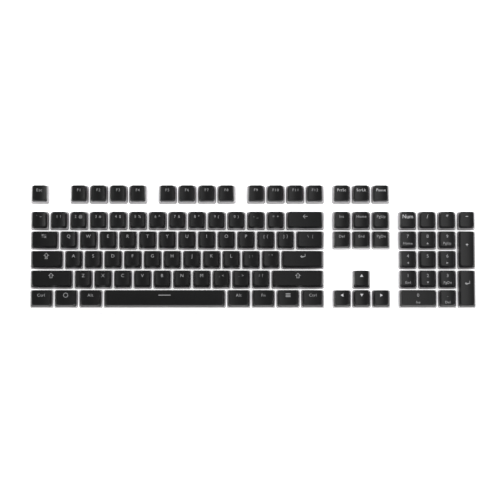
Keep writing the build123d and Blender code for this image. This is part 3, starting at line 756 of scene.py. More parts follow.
def rim_spots(across: int, along: int) -> list[RimSpot]:
    """Points round a rounded rectangle, anticlockwise from the middle of its front left corner.

    Args:
        across: steps on each straight part along X.
        along: steps on each straight part along Y.

    Returns:
        The points in order.
    """
    corners = ((-1, -1), (1, -1), (1, 1), (-1, 1))
    spots: list[RimSpot] = []
    for side in range(4):
        start, end = corners[side], corners[(side + 1) % 4]
        steps = across if side % 2 == 0 else along
        first = math.radians(FIRST_CORNER + 90 * side)
        for step in range(CORNER_STEPS):
            angle = first + HALF_CORNER * step / CORNER_STEPS
            spots.append(RimSpot(*start, math.cos(angle), math.sin(angle)))
        facing = first + HALF_CORNER
        for step in range(steps + 1):
            share = step / steps
            x = start[0] + (end[0] - start[0]) * share
            y = start[1] + (end[1] - start[1]) * share
            spots.append(RimSpot(x, y, math.cos(facing), math.sin(facing)))
        for step in range(1, CORNER_STEPS):
            angle = facing + HALF_CORNER * step / CORNER_STEPS
            spots.append(RimSpot(*end, math.cos(angle), math.sin(angle)))
    return spots


@dataclass(frozen=True)
class CapForm:
    """Shape of one keycap, standing on its foot at the origin.

    Args:
        width: foot along X.
        depth: foot along Y.
        height: nominal height.
        lean: how far the top leans towards the typist, in degrees.
        domed: a dome in place of the fingertip's trough.
    """

    width: float
    depth: float
    height: float
    lean: float
    domed: bool = False

    side_inset: float = 2.68 * MM
    front_inset: float = 2.6 * MM
    rear_inset: float = 1.25 * MM
    corner: float = 1.8 * MM
    edge: float = 0.42 * MM
    lip: float = 5.4 * MM
    black_wall: float = 0.75 * MM
    black_top: float = 1.2 * MM
    milky_wall: float = 0.75 * MM
    milky_top: float = 1.0 * MM
    dish: float = 0.65 * MM
    wide_dish: float = 0.45 * MM
    crown_radius: float = 42.0 * MM
    least_corner: float = 0.15 * MM
    foot_ease: float = 0.12 * MM
    shot_gap: float = 0.01 * MM
    step_x: float = 2.2 * MM
    step_y: float = 3.0 * MM

    DOME_ROUNDS = 4
    MEET_ROUNDS = 8
    LEAST_STEPS = (8, 6)

    @property
    def trough(self) -> float:
        """Depth of the fingertip's trough.

        Returns:
            The depth, which is nothing on a dome.
        """
        if self.domed:
            return 0.0
        return self.dish if self.width < PITCH else self.wide_dish

    @property
    def top_middle(self) -> float:
        """Y of the top's middle."""
        return (self.front_inset - self.rear_inset) / 2

    def surface(self, x: float, y: float) -> float:
        """Height of the finished top at a point.

        Args:
            x: place on the cap, from its middle.
            y: place on the cap, from its middle.

        Returns:
            The height.
        """
        slope = math.radians(self.lean)
        run = y - self.top_middle
        if self.domed:
            v = run
            for _ in range(self.DOME_ROUNDS):
                dip = math.sqrt(self.crown_radius**2 - v * v) - self.crown_radius
                v = (run + dip * math.sin(slope)) / math.cos(slope)
            dip = math.sqrt(self.crown_radius**2 - v * v) - self.crown_radius
            return self.height + v * math.sin(slope) + dip * math.cos(slope)
        crown = self.width - 2 * self.side_inset
        radius = crown**2 / (8 * self.trough) + self.trough / 2
        dip = radius - self.trough - math.sqrt(radius**2 - x * x)
        return self.height + run * math.tan(slope) + dip / math.cos(slope)

    def flat(self, height: float) -> Surface:
        """Plane that leans as the top does, at a height over the middle."""
        slope = math.tan(math.radians(self.lean))
        return lambda x, y: height + (y - self.top_middle) * slope

    def point(self, spot: RimSpot, z: float, inset: float) -> Vector:
        """Point of the tapered wall at a height.

        Args:
            spot: where it is round the rim.
            z: height.
            inset: distance inside the outer wall.

        Returns:
            The point.
        """
        share = z / self.height
        half_x = self.width / 2 - self.side_inset * share - inset
        half_y = self.depth / 2 - (self.front_inset + self.rear_inset) / 2 * share - inset
        radius = max(self.corner - inset, self.least_corner)
        middle = self.top_middle * share
        return Vector((
            spot.along_x * (half_x - radius) + radius * spot.out_x,
            middle + spot.along_y * (half_y - radius) + radius * spot.out_y,
            z,
        ))

    def meet(self, spot: RimSpot, inset: float, top: Surface) -> Vector:
        """Point where the wall meets a surface over it.

        Args:
            spot: where it is round the rim.
            inset: distance inside the outer wall.
            top: height of the surface at x and y.

        Returns:
            The point.
        """
        z = self.height
        for _ in range(self.MEET_ROUNDS):
            spot_now = self.point(spot, z, inset)
            z = top(spot_now.x, spot_now.y)
        return self.point(spot, z, inset)

    @property
    def core_height(self) -> float:
        """Height of the milky shot under the black top, over the middle."""
        return self.height - self.trough - self.black_top

    def steps(self) -> tuple[int, int]:
        """Steps on the straight parts of the rim, along X and along Y.

        Returns:
            The two numbers of steps.
        """
        least_x, least_y = self.LEAST_STEPS
        return max(least_x, round(self.width / self.step_x)), max(least_y, round(self.depth / self.step_y))


class CapMaker:
    """Builds the black shell and the milky body of a cap."""

    def __init__(self, form: CapForm) -> None:
        """Takes the form and works out the points round its rim.

        Args:
            form: the cap's form.
        """
        self.form = form
        across, along = form.steps()
        self.across = across + 2 * CORNER_STEPS
        self.spots = rim_spots(across, along)

    def wall(self, skin: Skin, z: float, inset: float) -> list[bmesh.types.BMVert]:
        """A level row of points on the wall."""
        return skin.ring(self.form.point(spot, z, inset) for spot in self.spots)

    def rim(self, skin: Skin, inset: float, top: Surface) -> list[bmesh.types.BMVert]:
        """The row where the wall meets a leaning surface."""
        return skin.ring(self.form.meet(spot, inset, top) for spot in self.spots)

    def shell(self, name: str, rounding: int = 4) -> bpy.types.Mesh:
        """Black outer shot: four short walls and the top, with an eased edge.

        Args:
            name: the mesh's name.
            rounding: steps round the edge.

        Returns:
            The closed mesh.
        """
        form, skin = self.form, Skin()
        lip = form.height - form.lip
        outer = self.wall(skin, lip, 0)
        edges = [form.meet(spot, 0, form.surface) for spot in self.spots]
        starts, ends = [], []
        for spot, edge in zip(self.spots, edges):
            rise = (edge - form.point(spot, edge.z - MM, 0)).normalized()
            starts.append(edge - rise * form.edge)
            x, y = edge.x - spot.out_x * form.edge, edge.y - spot.out_y * form.edge
            ends.append(Vector((x, y, form.surface(x, y))))
        last = outer
        for step in range(rounding + 1):
            share = step / rounding
            row = skin.ring(
                start * (1 - share) ** 2 + edge * (2 * share * (1 - share)) + end * share**2
                for start, edge, end in zip(starts, edges, ends)
            )
            skin.band(last, row)
            last = row
        skin.lid(last, self.across, form.surface)
        inner = self.wall(skin, lip, form.black_wall)
        skin.band(outer, inner)
        ceiling = self.rim(skin, form.black_wall, form.flat(form.core_height))
        skin.band(inner, ceiling)
        skin.bm.faces.new(ceiling)
        return skin.mesh(name)

    def body(self, name: str, bosses: Sequence[Vector]) -> bpy.types.Mesh:
        """Milky inner shot: the lower walls, the core under the black top and the bosses.

        Args:
            name: the mesh's name.
            bosses: middles of the bosses that hold the cap.

        Returns:
            The closed mesh.
        """
        form, skin = self.form, Skin()
        lip = form.height - form.lip
        room = form.black_wall + form.milky_wall
        foot = self.wall(skin, form.foot_ease, 0)
        shoulder = self.wall(skin, lip, 0)
        skin.band(foot, shoulder)
        step = self.wall(skin, lip, form.black_wall + form.shot_gap)
        skin.band(shoulder, step)
        core = self.rim(skin, form.black_wall + form.shot_gap, form.flat(form.core_height - form.shot_gap))
        skin.band(step, core)
        skin.bm.faces.new(core)
        sole = self.wall(skin, 0, form.foot_ease)
        skin.band(foot, sole)
        inside = self.wall(skin, 0, room)
        skin.band(sole, inside)
        ceiling_height = form.core_height - form.milky_top
        ceiling = self.rim(skin, room, form.flat(ceiling_height))
        skin.band(inside, ceiling)
        skin.bm.faces.new(ceiling)
        for boss in bosses:
            Boss().add_to(skin, boss, ceiling_height + form.milky_top / 2)
        return skin.mesh(name)


@dataclass(frozen=True)
class Cross:
    """Cross on a slider, and the matching hole in the cap's boss."""

    length: float = 4.1 * MM
    width: float = 1.2 * MM
    height: float = 3.6 * MM
    play: float = 0.03 * MM
    ease: float = 0.12 * MM
    taper: float = 0.96

    def outline(self, play: float) -> list[tuple[float, float]]:
        """The cross's twelve corners, anticlockwise.

        Args:
            play: room left round the cross.

        Returns:
            The corners, from the middle of the cross.
        """
        a, b = self.width / 2 + play, self.length / 2 + play
        quarter = ((b, -a), (b, a), (a, a))
        corners: list[tuple[float, float]] = []
        for turn in range(4):
            c, s = (1, 0, -1, 0)[turn], (0, 1, 0, -1)[turn]
            corners += [(x * c - y * s, x * s + y * c) for x, y in quarter]
        return corners

    def add_to(self, skin: Skin, middle: Vector) -> None:
        """Adds the cross, standing on a point.

        Args:
            skin: the mesh it joins.
            middle: middle of its foot.
        """
        outline = self.outline(0)
        low = skin.level(outline, middle.z, middle)
        high = skin.level(outline, middle.z + self.height - self.ease, middle)
        tapered = [(x * self.taper, y * self.taper) for x, y in outline]
        tip = skin.level(tapered, middle.z + self.height, middle)
        skin.band(low, high)
        skin.band(high, tip)
        skin.bm.faces.new(low)
        skin.bm.faces.new(tip)


@dataclass(frozen=True)
class Boss:
    """Round boss under a cap, with the blind hole for the slider's cross."""

    radius: float = 2.75 * MM
    foot: float = 0.6 * MM
    sides: int = 24
    cross: Cross = Cross()

    def add_to(self, skin: Skin, middle: Vector, top: float) -> None:
        """Adds a boss that ends inside the cap's ceiling.

        Args:
            skin: the mesh it joins.
            middle: the boss's middle.
            top: height of its crown.
        """
        corners, rim = self.cross.outline(self.cross.play), circle(self.radius, self.sides)
        outer, hole = skin.level(rim, self.foot, middle), skin.level(corners, self.foot, middle)
        loops = [[Vector((x, y, 0)) for x, y in outline] for outline in (rim, corners)]
        both = outer + hole
        for triangle in tessellate_polygon(loops):
            skin.bm.faces.new([both[index] for index in triangle])
        crown = skin.level(rim, top, middle)
        skin.band(outer, crown)
        skin.bm.faces.new(crown)
        blind = skin.level(corners, self.foot + self.cross.height, middle)
        skin.band(hole, blind)
        skin.bm.faces.new(blind)


# ---------------------------------------------------------------- under the caps
@dataclass(frozen=True)
class Slider:
    """A switch's moving stem, with its places counted from the crown of the switch's cover."""

    crown: float
    body: tuple[float, float] = (6.6 * MM, 5.4 * MM)
    drop: float = 5.6 * MM
    catch: tuple[float, float, float] = (9.2 * MM, 7.6 * MM, 1.0 * MM)
    catch_drop: float = 2.3 * MM
    pole: float = 1.0 * MM
    pole_drop: float = 9.6 * MM
    bore: float = 2.3 * MM
    bore_depth: float = 2.4 * MM
    ease: float = 0.2 * MM
    corner: float = 0.3 * MM
    side_steps: int = 4
    pole_tip: float = 0.7
    pole_taper: float = 0.4 * MM

    def mesh(self) -> bpy.types.Mesh:
        """Builds the stem: hollow block, catch, pole and cross.

        Returns:
            The mesh, round the Z axis.
        """
        skin, crown = Skin(), self.crown
        foot = crown - self.drop
        half_x, half_y = self.body[0] / 2, self.body[1] / 2
        bore_top = foot + self.bore_depth
        skin.block(Vector((-half_x, -half_y, bore_top)), Vector((half_x, half_y, crown)), self.ease)
        self.sleeve(skin, foot, bore_top + self.ease)
        x, y = self.catch[0] / 2, self.catch[1] / 2
        low = crown - self.catch_drop
        skin.block(Vector((-x, -y, low)), Vector((x, y, low + self.catch[2])), self.ease)
        self.rod(skin, crown - self.pole_drop, bore_top + self.ease)
        Cross().add_to(skin, Vector((0, 0, crown - self.ease)))
        return skin.mesh("slider_shape")

    def outside(self, skin: Skin, spots: Sequence[RimSpot], z: float) -> list[bmesh.types.BMVert]:
        """Adds a level row of points round the block.

        Args:
            skin: the mesh it joins.
            spots: points round a rounded rectangle.
            z: height of the row.

        Returns:
            The row.
        """
        half_x, half_y, radius = self.body[0] / 2, self.body[1] / 2, self.corner
        return skin.ring(
            Vector((
                spot.along_x * (half_x - radius) + radius * spot.out_x,
                spot.along_y * (half_y - radius) + radius * spot.out_y,
                z,
            ))
            for spot in spots
        )

    def sleeve(self, skin: Skin, low: float, high: float) -> None:
        """Lower part of the block, round the spring's pocket.

        Args:
            skin: the mesh it joins.
            low: height of its foot.
            high: height of its top.
        """
        spots = rim_spots(self.side_steps, self.side_steps)
        bore = circle(self.bore, len(spots), math.radians(FIRST_CORNER))
        sole, top = self.outside(skin, spots, low), self.outside(skin, spots, high)
        pocket, roof = skin.level(bore, low), skin.level(bore, high)
        skin.band(sole, top)
        skin.band(pocket, roof)
        skin.band(sole, pocket)
        skin.band(top, roof)

    def rod(self, skin: Skin, low: float, high: float, sides: int = 16) -> None:
        """Guide pole, with a tapered tip.

        Args:
            skin: the mesh it joins.
            low: height of its tip.
            high: height of its root.
            sides: number of its sides.
        """
        tip = skin.level(circle(self.pole * self.pole_tip, sides), low)
        shaft = skin.level(circle(self.pole, sides), low + self.pole_taper)
        root = skin.level(circle(self.pole, sides), high)
        skin.band(tip, shaft)
        skin.band(shaft, root)
        skin.bm.faces.new(tip)
        skin.bm.faces.new(root)


@dataclass(frozen=True)
class Runner:
    """Slider at one end of a wide key, which rides on the stabiliser's wire."""

    crown: float
    width: float = 4.2 * MM
    depth: float = 4.8 * MM
    drop: float = 9.62 * MM
    sole: float = 0.75 * MM
    window: tuple[float, float] = (2.1 * MM, 2.94 * MM)
    ease: float = 0.12 * MM
    cross_root: float = 0.1 * MM
    sharp: float = 1.0

    def mesh(self) -> bpy.types.Mesh:
        """Builds the runner, with its window right through.

        Returns:
            The mesh, round the Z axis.
        """
        skin = Skin()
        foot = self.crown - self.drop
        low = foot + self.sole
        x, inner = self.width / 2, self.window[0] / 2
        outer_points = ((-x, foot), (x, foot), (x, self.crown), (-x, self.crown))
        high = low + self.window[1]
        inner_points = ((-inner, low), (inner, low), (inner, high), (-inner, high))
        rows = {}
        for side in (-1, 1):
            y = side * self.depth / 2
            rows[side, 0] = skin.ring(Vector((px, y, pz)) for px, pz in outer_points)
            rows[side, 1] = skin.ring(Vector((px, y, pz)) for px, pz in inner_points)
            skin.band(rows[side, 0], rows[side, 1])
        skin.band(rows[-1, 0], rows[1, 0])
        skin.band(rows[-1, 1], rows[1, 1])
        corners = [edge for edge in skin.bm.edges if edge.calc_face_angle(0) > self.sharp]
        bmesh.ops.bevel(skin.bm, geom=corners, offset=self.ease, segments=1, affect="EDGES")
        Cross().add_to(skin, Vector((0, 0, self.crown - self.cross_root)))
        return skin.mesh("runner_shape")


@dataclass(frozen=True)
class Spring:
    """Coil spring of a switch, from the housing's floor up into the slider."""

    foot: float
    top: float
    radius: float = 1.95 * MM
    wire: float = 0.14 * MM
    turns: float = 8.0
    dead_turns: float = 1.0
    closed_pitch: float = 2.2
    steps: int = 18
    sides: int = 5
    crease: float = math.radians(80)

    def height(self, turn: float) -> float:
        """Height of the wire's middle after some turns; the end turns lie flat.

        Args:
            turn: number of turns from the foot.

        Returns:
            The height.
        """
        live = self.turns - 2 * self.dead_turns
        closed = self.closed_pitch * self.wire
        low, high = self.foot + self.wire, self.top - self.wire
        if turn < self.dead_turns:
            return low + closed * turn
        if turn > self.turns - self.dead_turns:
            return high - closed * (self.turns - turn)
        share = (turn - self.dead_turns) / live
        return low + closed + (high - low - 2 * closed) * share

    def mesh(self) -> bpy.types.Mesh:
        """Builds the coil as a closed tube.

        Returns:
            The mesh, round the Z axis.
        """
        skin, section = Skin(), circle(self.wire, self.sides)
        rows = []
        count = round(self.turns * self.steps)
        for step in range(count + 1):
            turn = step / self.steps
            angle = math.tau * turn
            out = Vector((math.cos(angle), math.sin(angle), 0))
            middle = out * self.radius + Vector((0, 0, self.height(turn)))
            rows.append(skin.ring(middle + out * x + Vector((0, 0, y)) for x, y in section))
        for low, high in zip(rows, rows[1:]):
            skin.band(low, high)
        skin.bm.faces.new(rows[0])
        skin.bm.faces.new(rows[-1])
        return skin.mesh("spring_shape", self.crease)


# ---------------------------------------------------------------- legends
@dataclass(frozen=True)
class LegendStyle:
    """Where the lettering goes on a cap, from the cap's middle."""

    line: float = 3.2 * MM
    lower_line: float = -3.6 * MM
    tall_line: float = 4.5 * MM
    tall_middle: float = 5.7 * MM
    cap_share: float = 0.345
    proud: float = 0.03 * MM
    sunk: float = 0.06 * MM
    thickness: float = 0.05 * MM
    curve_steps: int = 3
    weld: float = 0.001 * MM
    bar: tuple[float, float, float] = (3.4 * MM, 0.55 * MM, 0.35 * MM)
    bar_y: float = -4.0 * MM
    bar_ease: float = 0.6


class Engraver:
    """Sets lettering on the curved tops."""

    CENTRED = (Lettering.MARK, Lettering.SHIFT, Lettering.ARROW, Lettering.TINY, Lettering.DASH)
    BRIGHT = (Lettering.BOLD, Lettering.SIGN, Lettering.ARROW)

    def __init__(self, style: LegendStyle) -> None:
        """Takes the layout of the lettering."""
        self.style = style

    def glyphs(self, text: str, lettering: Lettering) -> bpy.types.Mesh:
        """Flat outlines of a text, centred on the origin.

        Args:
            text: what it says.
            lettering: how it is set.

        Returns:
            A closed mesh, with a thickness that is later moved onto the cap.
        """
        size, spacing = lettering.value
        curve = bpy.data.curves.new("lettering", "FONT")
        curve.body = text
        curve.size = size * MM
        curve.space_character = spacing
        curve.align_x = "CENTER"
        curve.extrude = self.style.thickness
        curve.resolution_u = self.style.curve_steps
        carrier = bpy.data.objects.new("lettering", curve)
        bpy.context.scene.collection.objects.link(carrier)
        graph = bpy.context.evaluated_depsgraph_get()
        mesh = bpy.data.meshes.new_from_object(carrier.evaluated_get(graph))
        bpy.data.objects.remove(carrier)
        bpy.data.curves.remove(curve)
        xs = [vert.co.x for vert in mesh.vertices]
        ys = [vert.co.y for vert in mesh.vertices]
        middle = (max(ys) + min(ys)) / 2 if lettering in self.CENTRED else self.style.cap_share * size * MM
        mesh.transform(Matrix.Translation((-(max(xs) + min(xs)) / 2, -middle, 0)))
        return mesh

    def lay(self, mesh: bpy.types.Mesh, form: CapForm, x: float, y: float, key: Vector) -> bpy.types.Mesh:
        """Moves flat lettering onto a cap's top.

        Args:
            mesh: the lettering.
            form: the cap's form.
            x: middle of the lettering on the cap.
            y: middle of the lettering on the cap.
            key: where the cap's foot stands.

        Returns:
            The same mesh, in place.
        """
        for vert in mesh.vertices:
            px, py = vert.co.x + x, vert.co.y + y
            lift = self.style.proud if vert.co.z > 0 else -self.style.sunk
            vert.co = Vector((key.x + px, key.y + py, key.z + form.surface(px, py) + lift))
        bm = bmesh.new()
        bm.from_mesh(mesh)
        bmesh.ops.remove_doubles(bm, verts=bm.verts, dist=self.style.weld)
        bmesh.ops.recalc_face_normals(bm, faces=bm.faces)
        bm.to_mesh(mesh)
        bm.free()
        return mesh

    def legend(self, key: Key) -> list[bpy.types.Mesh]:
        """All the lettering of one key.

        Args:
            key: the key.

        Returns:
            One mesh for each line of lettering.
        """
        style, form = self.style, key.form
        two_lines = key.lettering is Lettering.LETTER
        upper, _, lower = key.legend.partition("|") if two_lines else (key.legend, "", "")
        line = style.line
        if key.tall:
            line = style.tall_middle if key.lettering in self.CENTRED else style.tall_line
        made = [self.lay(self.glyphs(upper, key.lettering), form, 0, line, key.foot)]
        if lower:
            small = Lettering.TINY if lower in "▲▼◀▶" else Lettering.SMALL
            made.append(self.lay(self.glyphs(lower, small), form, 0, style.lower_line, key.foot))
        return made

    def homing_bar(self, key: Key) -> bpy.types.Mesh:
        """Raised bar that a finger finds its home key by.

        Args:
            key: the key.

        Returns:
            The bar's mesh.
        """
        width, depth, rise = self.style.bar
        middle = Vector((key.foot.x, key.foot.y + self.style.bar_y, 0))
        z = key.foot.z + key.form.surface(0, self.style.bar_y)
        skin = Skin()
        skin.block(
            Vector((middle.x - width / 2, middle.y - depth / 2, z - rise)),
            Vector((middle.x + width / 2, middle.y + depth / 2, z + rise)),
            rise * self.style.bar_ease,
        )
        return skin.mesh("homing_bar")


# ---------------------------------------------------------------- the keyboard
@dataclass(frozen=True)
class Key:
    """One key of the board.

    Args:
        body: the CAD body it moves with.
        foot: where the cap's foot stands, over the middle of the switch.
        units: its width in key units, or its length if it is tall.
        tall: two rows tall.
        legend: what is printed on it.
        lettering: how that is set.
        form: the cap's form.
    """

    body: str
    foot: Vector
    units: float
    tall: bool
    legend: str
    lettering: Lettering
    form: CapForm

    NEAR_SPREAD = 11.94 * MM
    SPACE_SPREAD = 50.0 * MM

    @property
    def ground(self) -> Vector:
        """Point of the desk under the middle of the key."""
        return Vector((self.foot.x, self.foot.y, 0))

    def runners(self) -> list[Vector]:
        """Middles of the key's stabiliser sliders, from the middle of the key.

        Returns:
            The middles; a narrow key has none.
        """
        if self.units < WIDE_UNITS:
            return []
        spread = self.NEAR_SPREAD if self.units < SPACE_UNITS else self.SPACE_SPREAD
        if self.tall:
            return [Vector((0, side * spread, 0)) for side in (-1, 1)]
        return [Vector((side * spread, 0, 0)) for side in (-1, 1)]


@dataclass
class Housing:
    """Places that the keys need, read from the CAD frame."""

    middle: Vector
    crown: float
    spring_foot: float
    spring_top: float
    boss_drop: float = 0.6 * MM

    @classmethod
    def measure(cls) -> Housing:
        """Reads the places from the CAD nodes.

        Returns:
            The places.
        """
        low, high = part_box("bottom_tray")
        spring_low, spring_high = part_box("switch_springs")
        return cls((low + high) / 2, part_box("switch_covers")[1].z, spring_low.z, spring_high.z)

    @property
    def cap_foot(self) -> float:
        """Height of the caps' feet."""
        return self.crown - self.boss_drop


class KeyField:
    """Lays out every key from the runs."""

    ROWS = 6
    LAST_COLUMNS = 4

    def __init__(self, housing: Housing) -> None:
        """Takes the housing that the keys stand on.

        Args:
            housing: places that the keys need.
        """
        self.housing = housing
        self.width = Block.PAD.edge() + self.LAST_COLUMNS * PITCH
        self.depth = self.ROWS * PITCH + CLUSTER_GAP

    def row_middle(self, row: int) -> float:
        """Y of a row's middle, counted from the back."""
        below = (row + 0.5) * PITCH + (CLUSTER_GAP if row else 0)
        return self.housing.middle.y + self.depth / 2 - below

    def keys(self) -> list[Key]:
        """Every key of the board.

        Returns:
            The keys, in the order of the runs.
        """
        made: list[Key] = []
        for run in RUNS:
            column = run.column
            wide = 1 if run.tall else run.units
            for legend in run.legends:
                x = self.housing.middle.x + run.block.edge() + (column + wide / 2) * PITCH - self.width / 2
                y = self.row_middle(run.row)
                if run.tall:
                    y = (y + self.row_middle(run.row + 1)) / 2
                form = CapForm(
                    width=wide * PITCH - CAP_GAP,
                    depth=(2 if run.tall else 1) * PITCH - CAP_GAP,
                    height=TALL_HEIGHT if run.tall else ROW_HEIGHTS[run.row],
                    lean=TALL_LEAN if run.tall else ROW_LEANS[run.row],
                    domed=run.units > SPACE_UNITS,
                )
                foot = Vector((x, y, self.housing.cap_foot))
                made.append(Key(run.body, foot, run.units, run.tall, legend, run.lettering, form))
                column += wide
        return made


class Keyboard:
    """The visual keyboard on its CAD frame."""

    def __init__(self, frame: dict, paints: Paintbox) -> None:
        """Takes the loaded frame and the materials.

        Args:
            frame: the loaded frame.
            paints: the materials.
        """
        self.frame = frame
        self.paints = paints
        self.housing = Housing.measure()
        self.repeater = Repeater()
        self.engraver = Engraver(LegendStyle())
        self.keys = KeyField(self.housing).keys()

    def build(self) -> None:
        """Makes every piece and finishes the CAD nodes."""
        bodies = list(dict.fromkeys(key.body for key in self.keys))
        for body in bodies:
            gang = [key for key in self.keys if key.body == body]
            self.caps(body, gang)
            self.legends(body, gang)
            self.stems(body, gang)
            self.springs(body, gang)
        self.dress_nodes()
        log.info("%d keys in %d gangs", len(self.keys), len(bodies))

    def piece(
        self, name: str, body: str, meshes: Sequence[bpy.types.Mesh], finish: Finish
    ) -> bpy.types.Object:
        """Joins meshes into a piece that rides on a body, and reports it.

        Args:
            name: the piece's name.
            body: the CAD body it rides on.
            meshes: what it is made of; they are used up.
            finish: what it looks like.

        Returns:
            The piece.
        """
        piece = merge(name, meshes, self.paints.of(finish))
        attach(piece, body)
        log.info("%s rides on %s, %d faces", name, body, len(piece.data.polygons))
        return piece

    def repeated(
        self, shape: bpy.types.Mesh, places: Sequence[Vector], finish: Finish
    ) -> bpy.types.Mesh:
        """Copies of one shape, joined in one mesh.

        Args:
            shape: the shape, made round the origin; it is used up.
            places: where the copies go.
            finish: what they look like.

        Returns:
            The mesh.
        """
        copies = self.repeater.run(shape, places, self.paints.of(finish))
        bpy.data.meshes.remove(shape)
        return copies

    def caps(self, body: str, gang: Sequence[Key]) -> None:
        """Black shells and milky bodies of the keys that move together.

        Args:
            body: the CAD body that the keys move with.
            gang: the keys.
        """
        shells, bodies = [], []
        for form in dict.fromkeys(key.form for key in gang):
            same = [key for key in gang if key.form == form]
            maker = CapMaker(form)
            places = [key.foot for key in same]
            bosses = [Vector((0, 0, 0)), *same[0].runners()]
            shells.append(self.repeated(maker.shell("shell_shape"), places, CAP_BLACK))
            bodies.append(self.repeated(maker.body("body_shape", bosses), places, CAP_MILKY))
        top = self.piece(f"tops_{body}", body, shells, CAP_BLACK)
        skirt = self.piece(f"skirts_{body}", body, bodies, CAP_MILKY)
        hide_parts(body)
        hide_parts(body)

    def legends(self, body: str, gang: Sequence[Key]) -> None:
        """Lettering, and the homing bars of the home keys.

        Args:
            body: the CAD body that the keys move with.
            gang: the keys.
        """
        for name, finish in (("legends", LEGEND_GREY), ("bright_legends", LEGEND_PALE)):
            chosen = [key for key in gang if (key.lettering in Engraver.BRIGHT) == (finish is LEGEND_PALE)]
            if chosen:
                letters = [mesh for key in chosen for mesh in self.engraver.legend(key)]
                self.piece(f"{name}_{body}", body, letters, finish)
        bars = [self.engraver.homing_bar(key) for key in gang if key.legend in HOMING_LEGENDS]
        if bars:
            self.piece(f"homing_bars_{body}", body, bars, CAP_BLACK)

    def stems(self, body: str, gang: Sequence[Key]) -> None:
        """Sliders of the switches, and the stabilisers' runners.

        Args:
            body: the CAD body that the keys move with.
            gang: the keys.
        """
        level = [key.ground for key in gang]
        meshes = [self.repeated(Slider(self.housing.crown).mesh(), level, SLIDER_BLACK)]
        for key, place in zip(gang, level):
            if key.runners():
                spots = [place + runner for runner in key.runners()]
                shape = Runner(self.housing.crown).mesh()
                if key.tall:
                    shape.transform(Matrix.Rotation(math.pi / 2, 4, "Z"))
                meshes.append(self.repeated(shape, spots, SLIDER_BLACK))
        self.piece(f"sliders_{body}", body, meshes, SLIDER_BLACK)

    def springs(self, body: str, gang: Sequence[Key]) -> None:
        """Return springs under the keys, fixed to the case.

        Args:
            body: the CAD body that the keys move with.
            gang: the keys.
        """
        level = [key.ground for key in gang]
        shape = Spring(self.housing.spring_foot, self.housing.spring_top).mesh()
        piece = self.piece(f"springs_{body}", "case", [self.repeated(shape, level, SPRING_STEEL)], SPRING_STEEL)
        joint = next(joint for joint in self.frame["joints"] if joint["name"] == f"{body}_press")
        travel = max(abs(limit) for limit in joint["range_m"])
        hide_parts("switch_springs")
        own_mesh(piece)

    def dress_nodes(self) -> None:
        """Gives each CAD node that stays its finish."""
        for name, node in self.frame["nodes"].items():
            finish = BRIGHT_STEEL if name.startswith("stabiliser_wire") else NODE_FINISHES.get(name)
            if finish is None:
                continue
            material = self.paints.of(finish)
            if not node.material_slots:
                node.data.materials.append(material)
            for slot in node.material_slots:
                slot.material = material


# ---------------------------------------------------------------- studio
@dataclass(frozen=True)
class SoftBox:
    """Square soft light that points at the keyboard's middle."""

    name: str
    place: tuple[float, float, float]
    size: float
    power: float

    def hang(self, middle: Vector) -> None:
        """Puts the light up.

        Args:
            middle: what it points at.
        """
        data = bpy.data.lights.new(self.name, "AREA")
        data.size = self.size
        data.energy = self.power
        lamp = bpy.data.objects.new(self.name, data)
        lamp.location = Vector(self.place) + middle
        lamp.rotation_euler = (middle - lamp.location).to_track_quat("-Z", "Y").to_euler()
        bpy.context.scene.collection.objects.link(lamp)


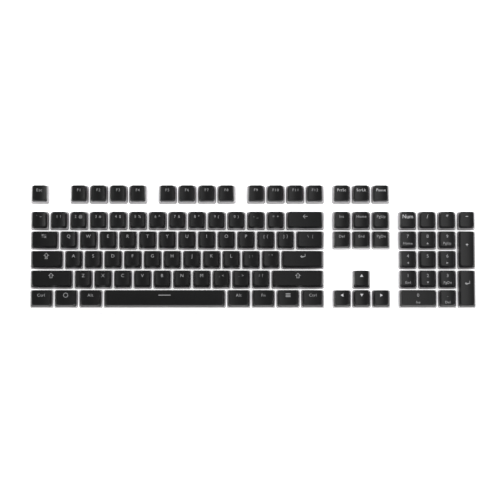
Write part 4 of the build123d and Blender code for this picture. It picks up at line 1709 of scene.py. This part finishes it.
@dataclass(frozen=True)
class Studio:
    """Plain white table, soft light from both sides and all round, and a long lens from above."""

    tilt: float = 6.5
    distance: float = 2.2
    lens: float = 163.4
    sensor: float = 36.0
    far: float = 20.0
    aim_right: float = -2.9 * MM
    aim_front: float = -2.5 * MM
    sky: float = 1.1
    ceiling: float = 0.22
    ceiling_from: float = 0.55
    lamps: tuple[SoftBox, ...] = (
        SoftBox("soft_box_right", (0.55, 0.0, 0.75), 1.0, 7.0),
        SoftBox("soft_box_left", (-0.8, 0.0, 0.85), 0.5, 5.0),
    )
    floor_half: float = 4.0

    def build(self, housing: Housing) -> None:
        """Sets up light, floor and camera.

        Args:
            housing: places on the keyboard.
        """
        self.surroundings()
        self.floor()
        for lamp in self.lamps:
            lamp.hang(housing.middle)
        self.camera(housing)
        bpy.context.scene.view_settings.view_transform = "Standard"

    def surroundings(self) -> None:
        """Soft light from all round, with a dimmer ceiling for the caps to reflect."""
        world = bpy.data.worlds.new("studio")
        world.use_nodes = True
        tree = world.node_tree
        place = tree.nodes.new("ShaderNodeTexCoord")
        split = tree.nodes.new("ShaderNodeSeparateXYZ")
        ceiling = tree.nodes.new("ShaderNodeMapRange")
        ceiling.interpolation_type = "SMOOTHSTEP"
        ceiling.inputs["From Min"].default_value = self.ceiling_from
        ceiling.inputs["To Min"].default_value = self.sky
        ceiling.inputs["To Max"].default_value = self.ceiling
        tree.links.new(place.outputs["Generated"], split.inputs["Vector"])
        tree.links.new(split.outputs["Z"], ceiling.inputs["Value"])
        tree.links.new(ceiling.outputs["Result"], tree.nodes["Background"].inputs["Strength"])
        tree.nodes["Background"].inputs["Color"].default_value = WHITE
        bpy.context.scene.world = world

    def floor(self) -> None:
        """White table top."""
        half = self.floor_half
        mesh = bpy.data.meshes.new("table_top")
        mesh.from_pydata(
            [(-half, -half, 0), (half, -half, 0), (half, half, 0), (-half, half, 0)], [], [(0, 1, 2, 3)]
        )
        table = place_in_scene("table_top", mesh)
        mesh.materials.append(TABLE_WHITE.make())

    def camera(self, housing: Housing) -> None:
        """Long lens, nearly straight above and a little towards the typist.

        Args:
            housing: places on the keyboard.
        """
        data = bpy.data.cameras.new("view")
        data.lens = self.lens
        data.sensor_width = self.sensor
        data.clip_end = self.far
        camera = bpy.data.objects.new("view", data)
        aim = Vector((housing.middle.x + self.aim_right, housing.middle.y + self.aim_front, housing.cap_foot))
        slope = math.radians(self.tilt)
        back = Vector((0, -math.sin(slope), math.cos(slope)))
        camera.location = aim + back * self.distance
        camera.rotation_euler = (slope, 0, 0)
        bpy.context.scene.collection.objects.link(camera)
        bpy.context.scene.camera = camera


def main() -> None:
    """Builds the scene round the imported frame."""
    logging.basicConfig(level=logging.INFO)
    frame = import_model()
    keyboard = Keyboard(frame, Paintbox())
    keyboard.build()
    Studio().build(keyboard.housing)


if __name__ == "__main__":
    main()
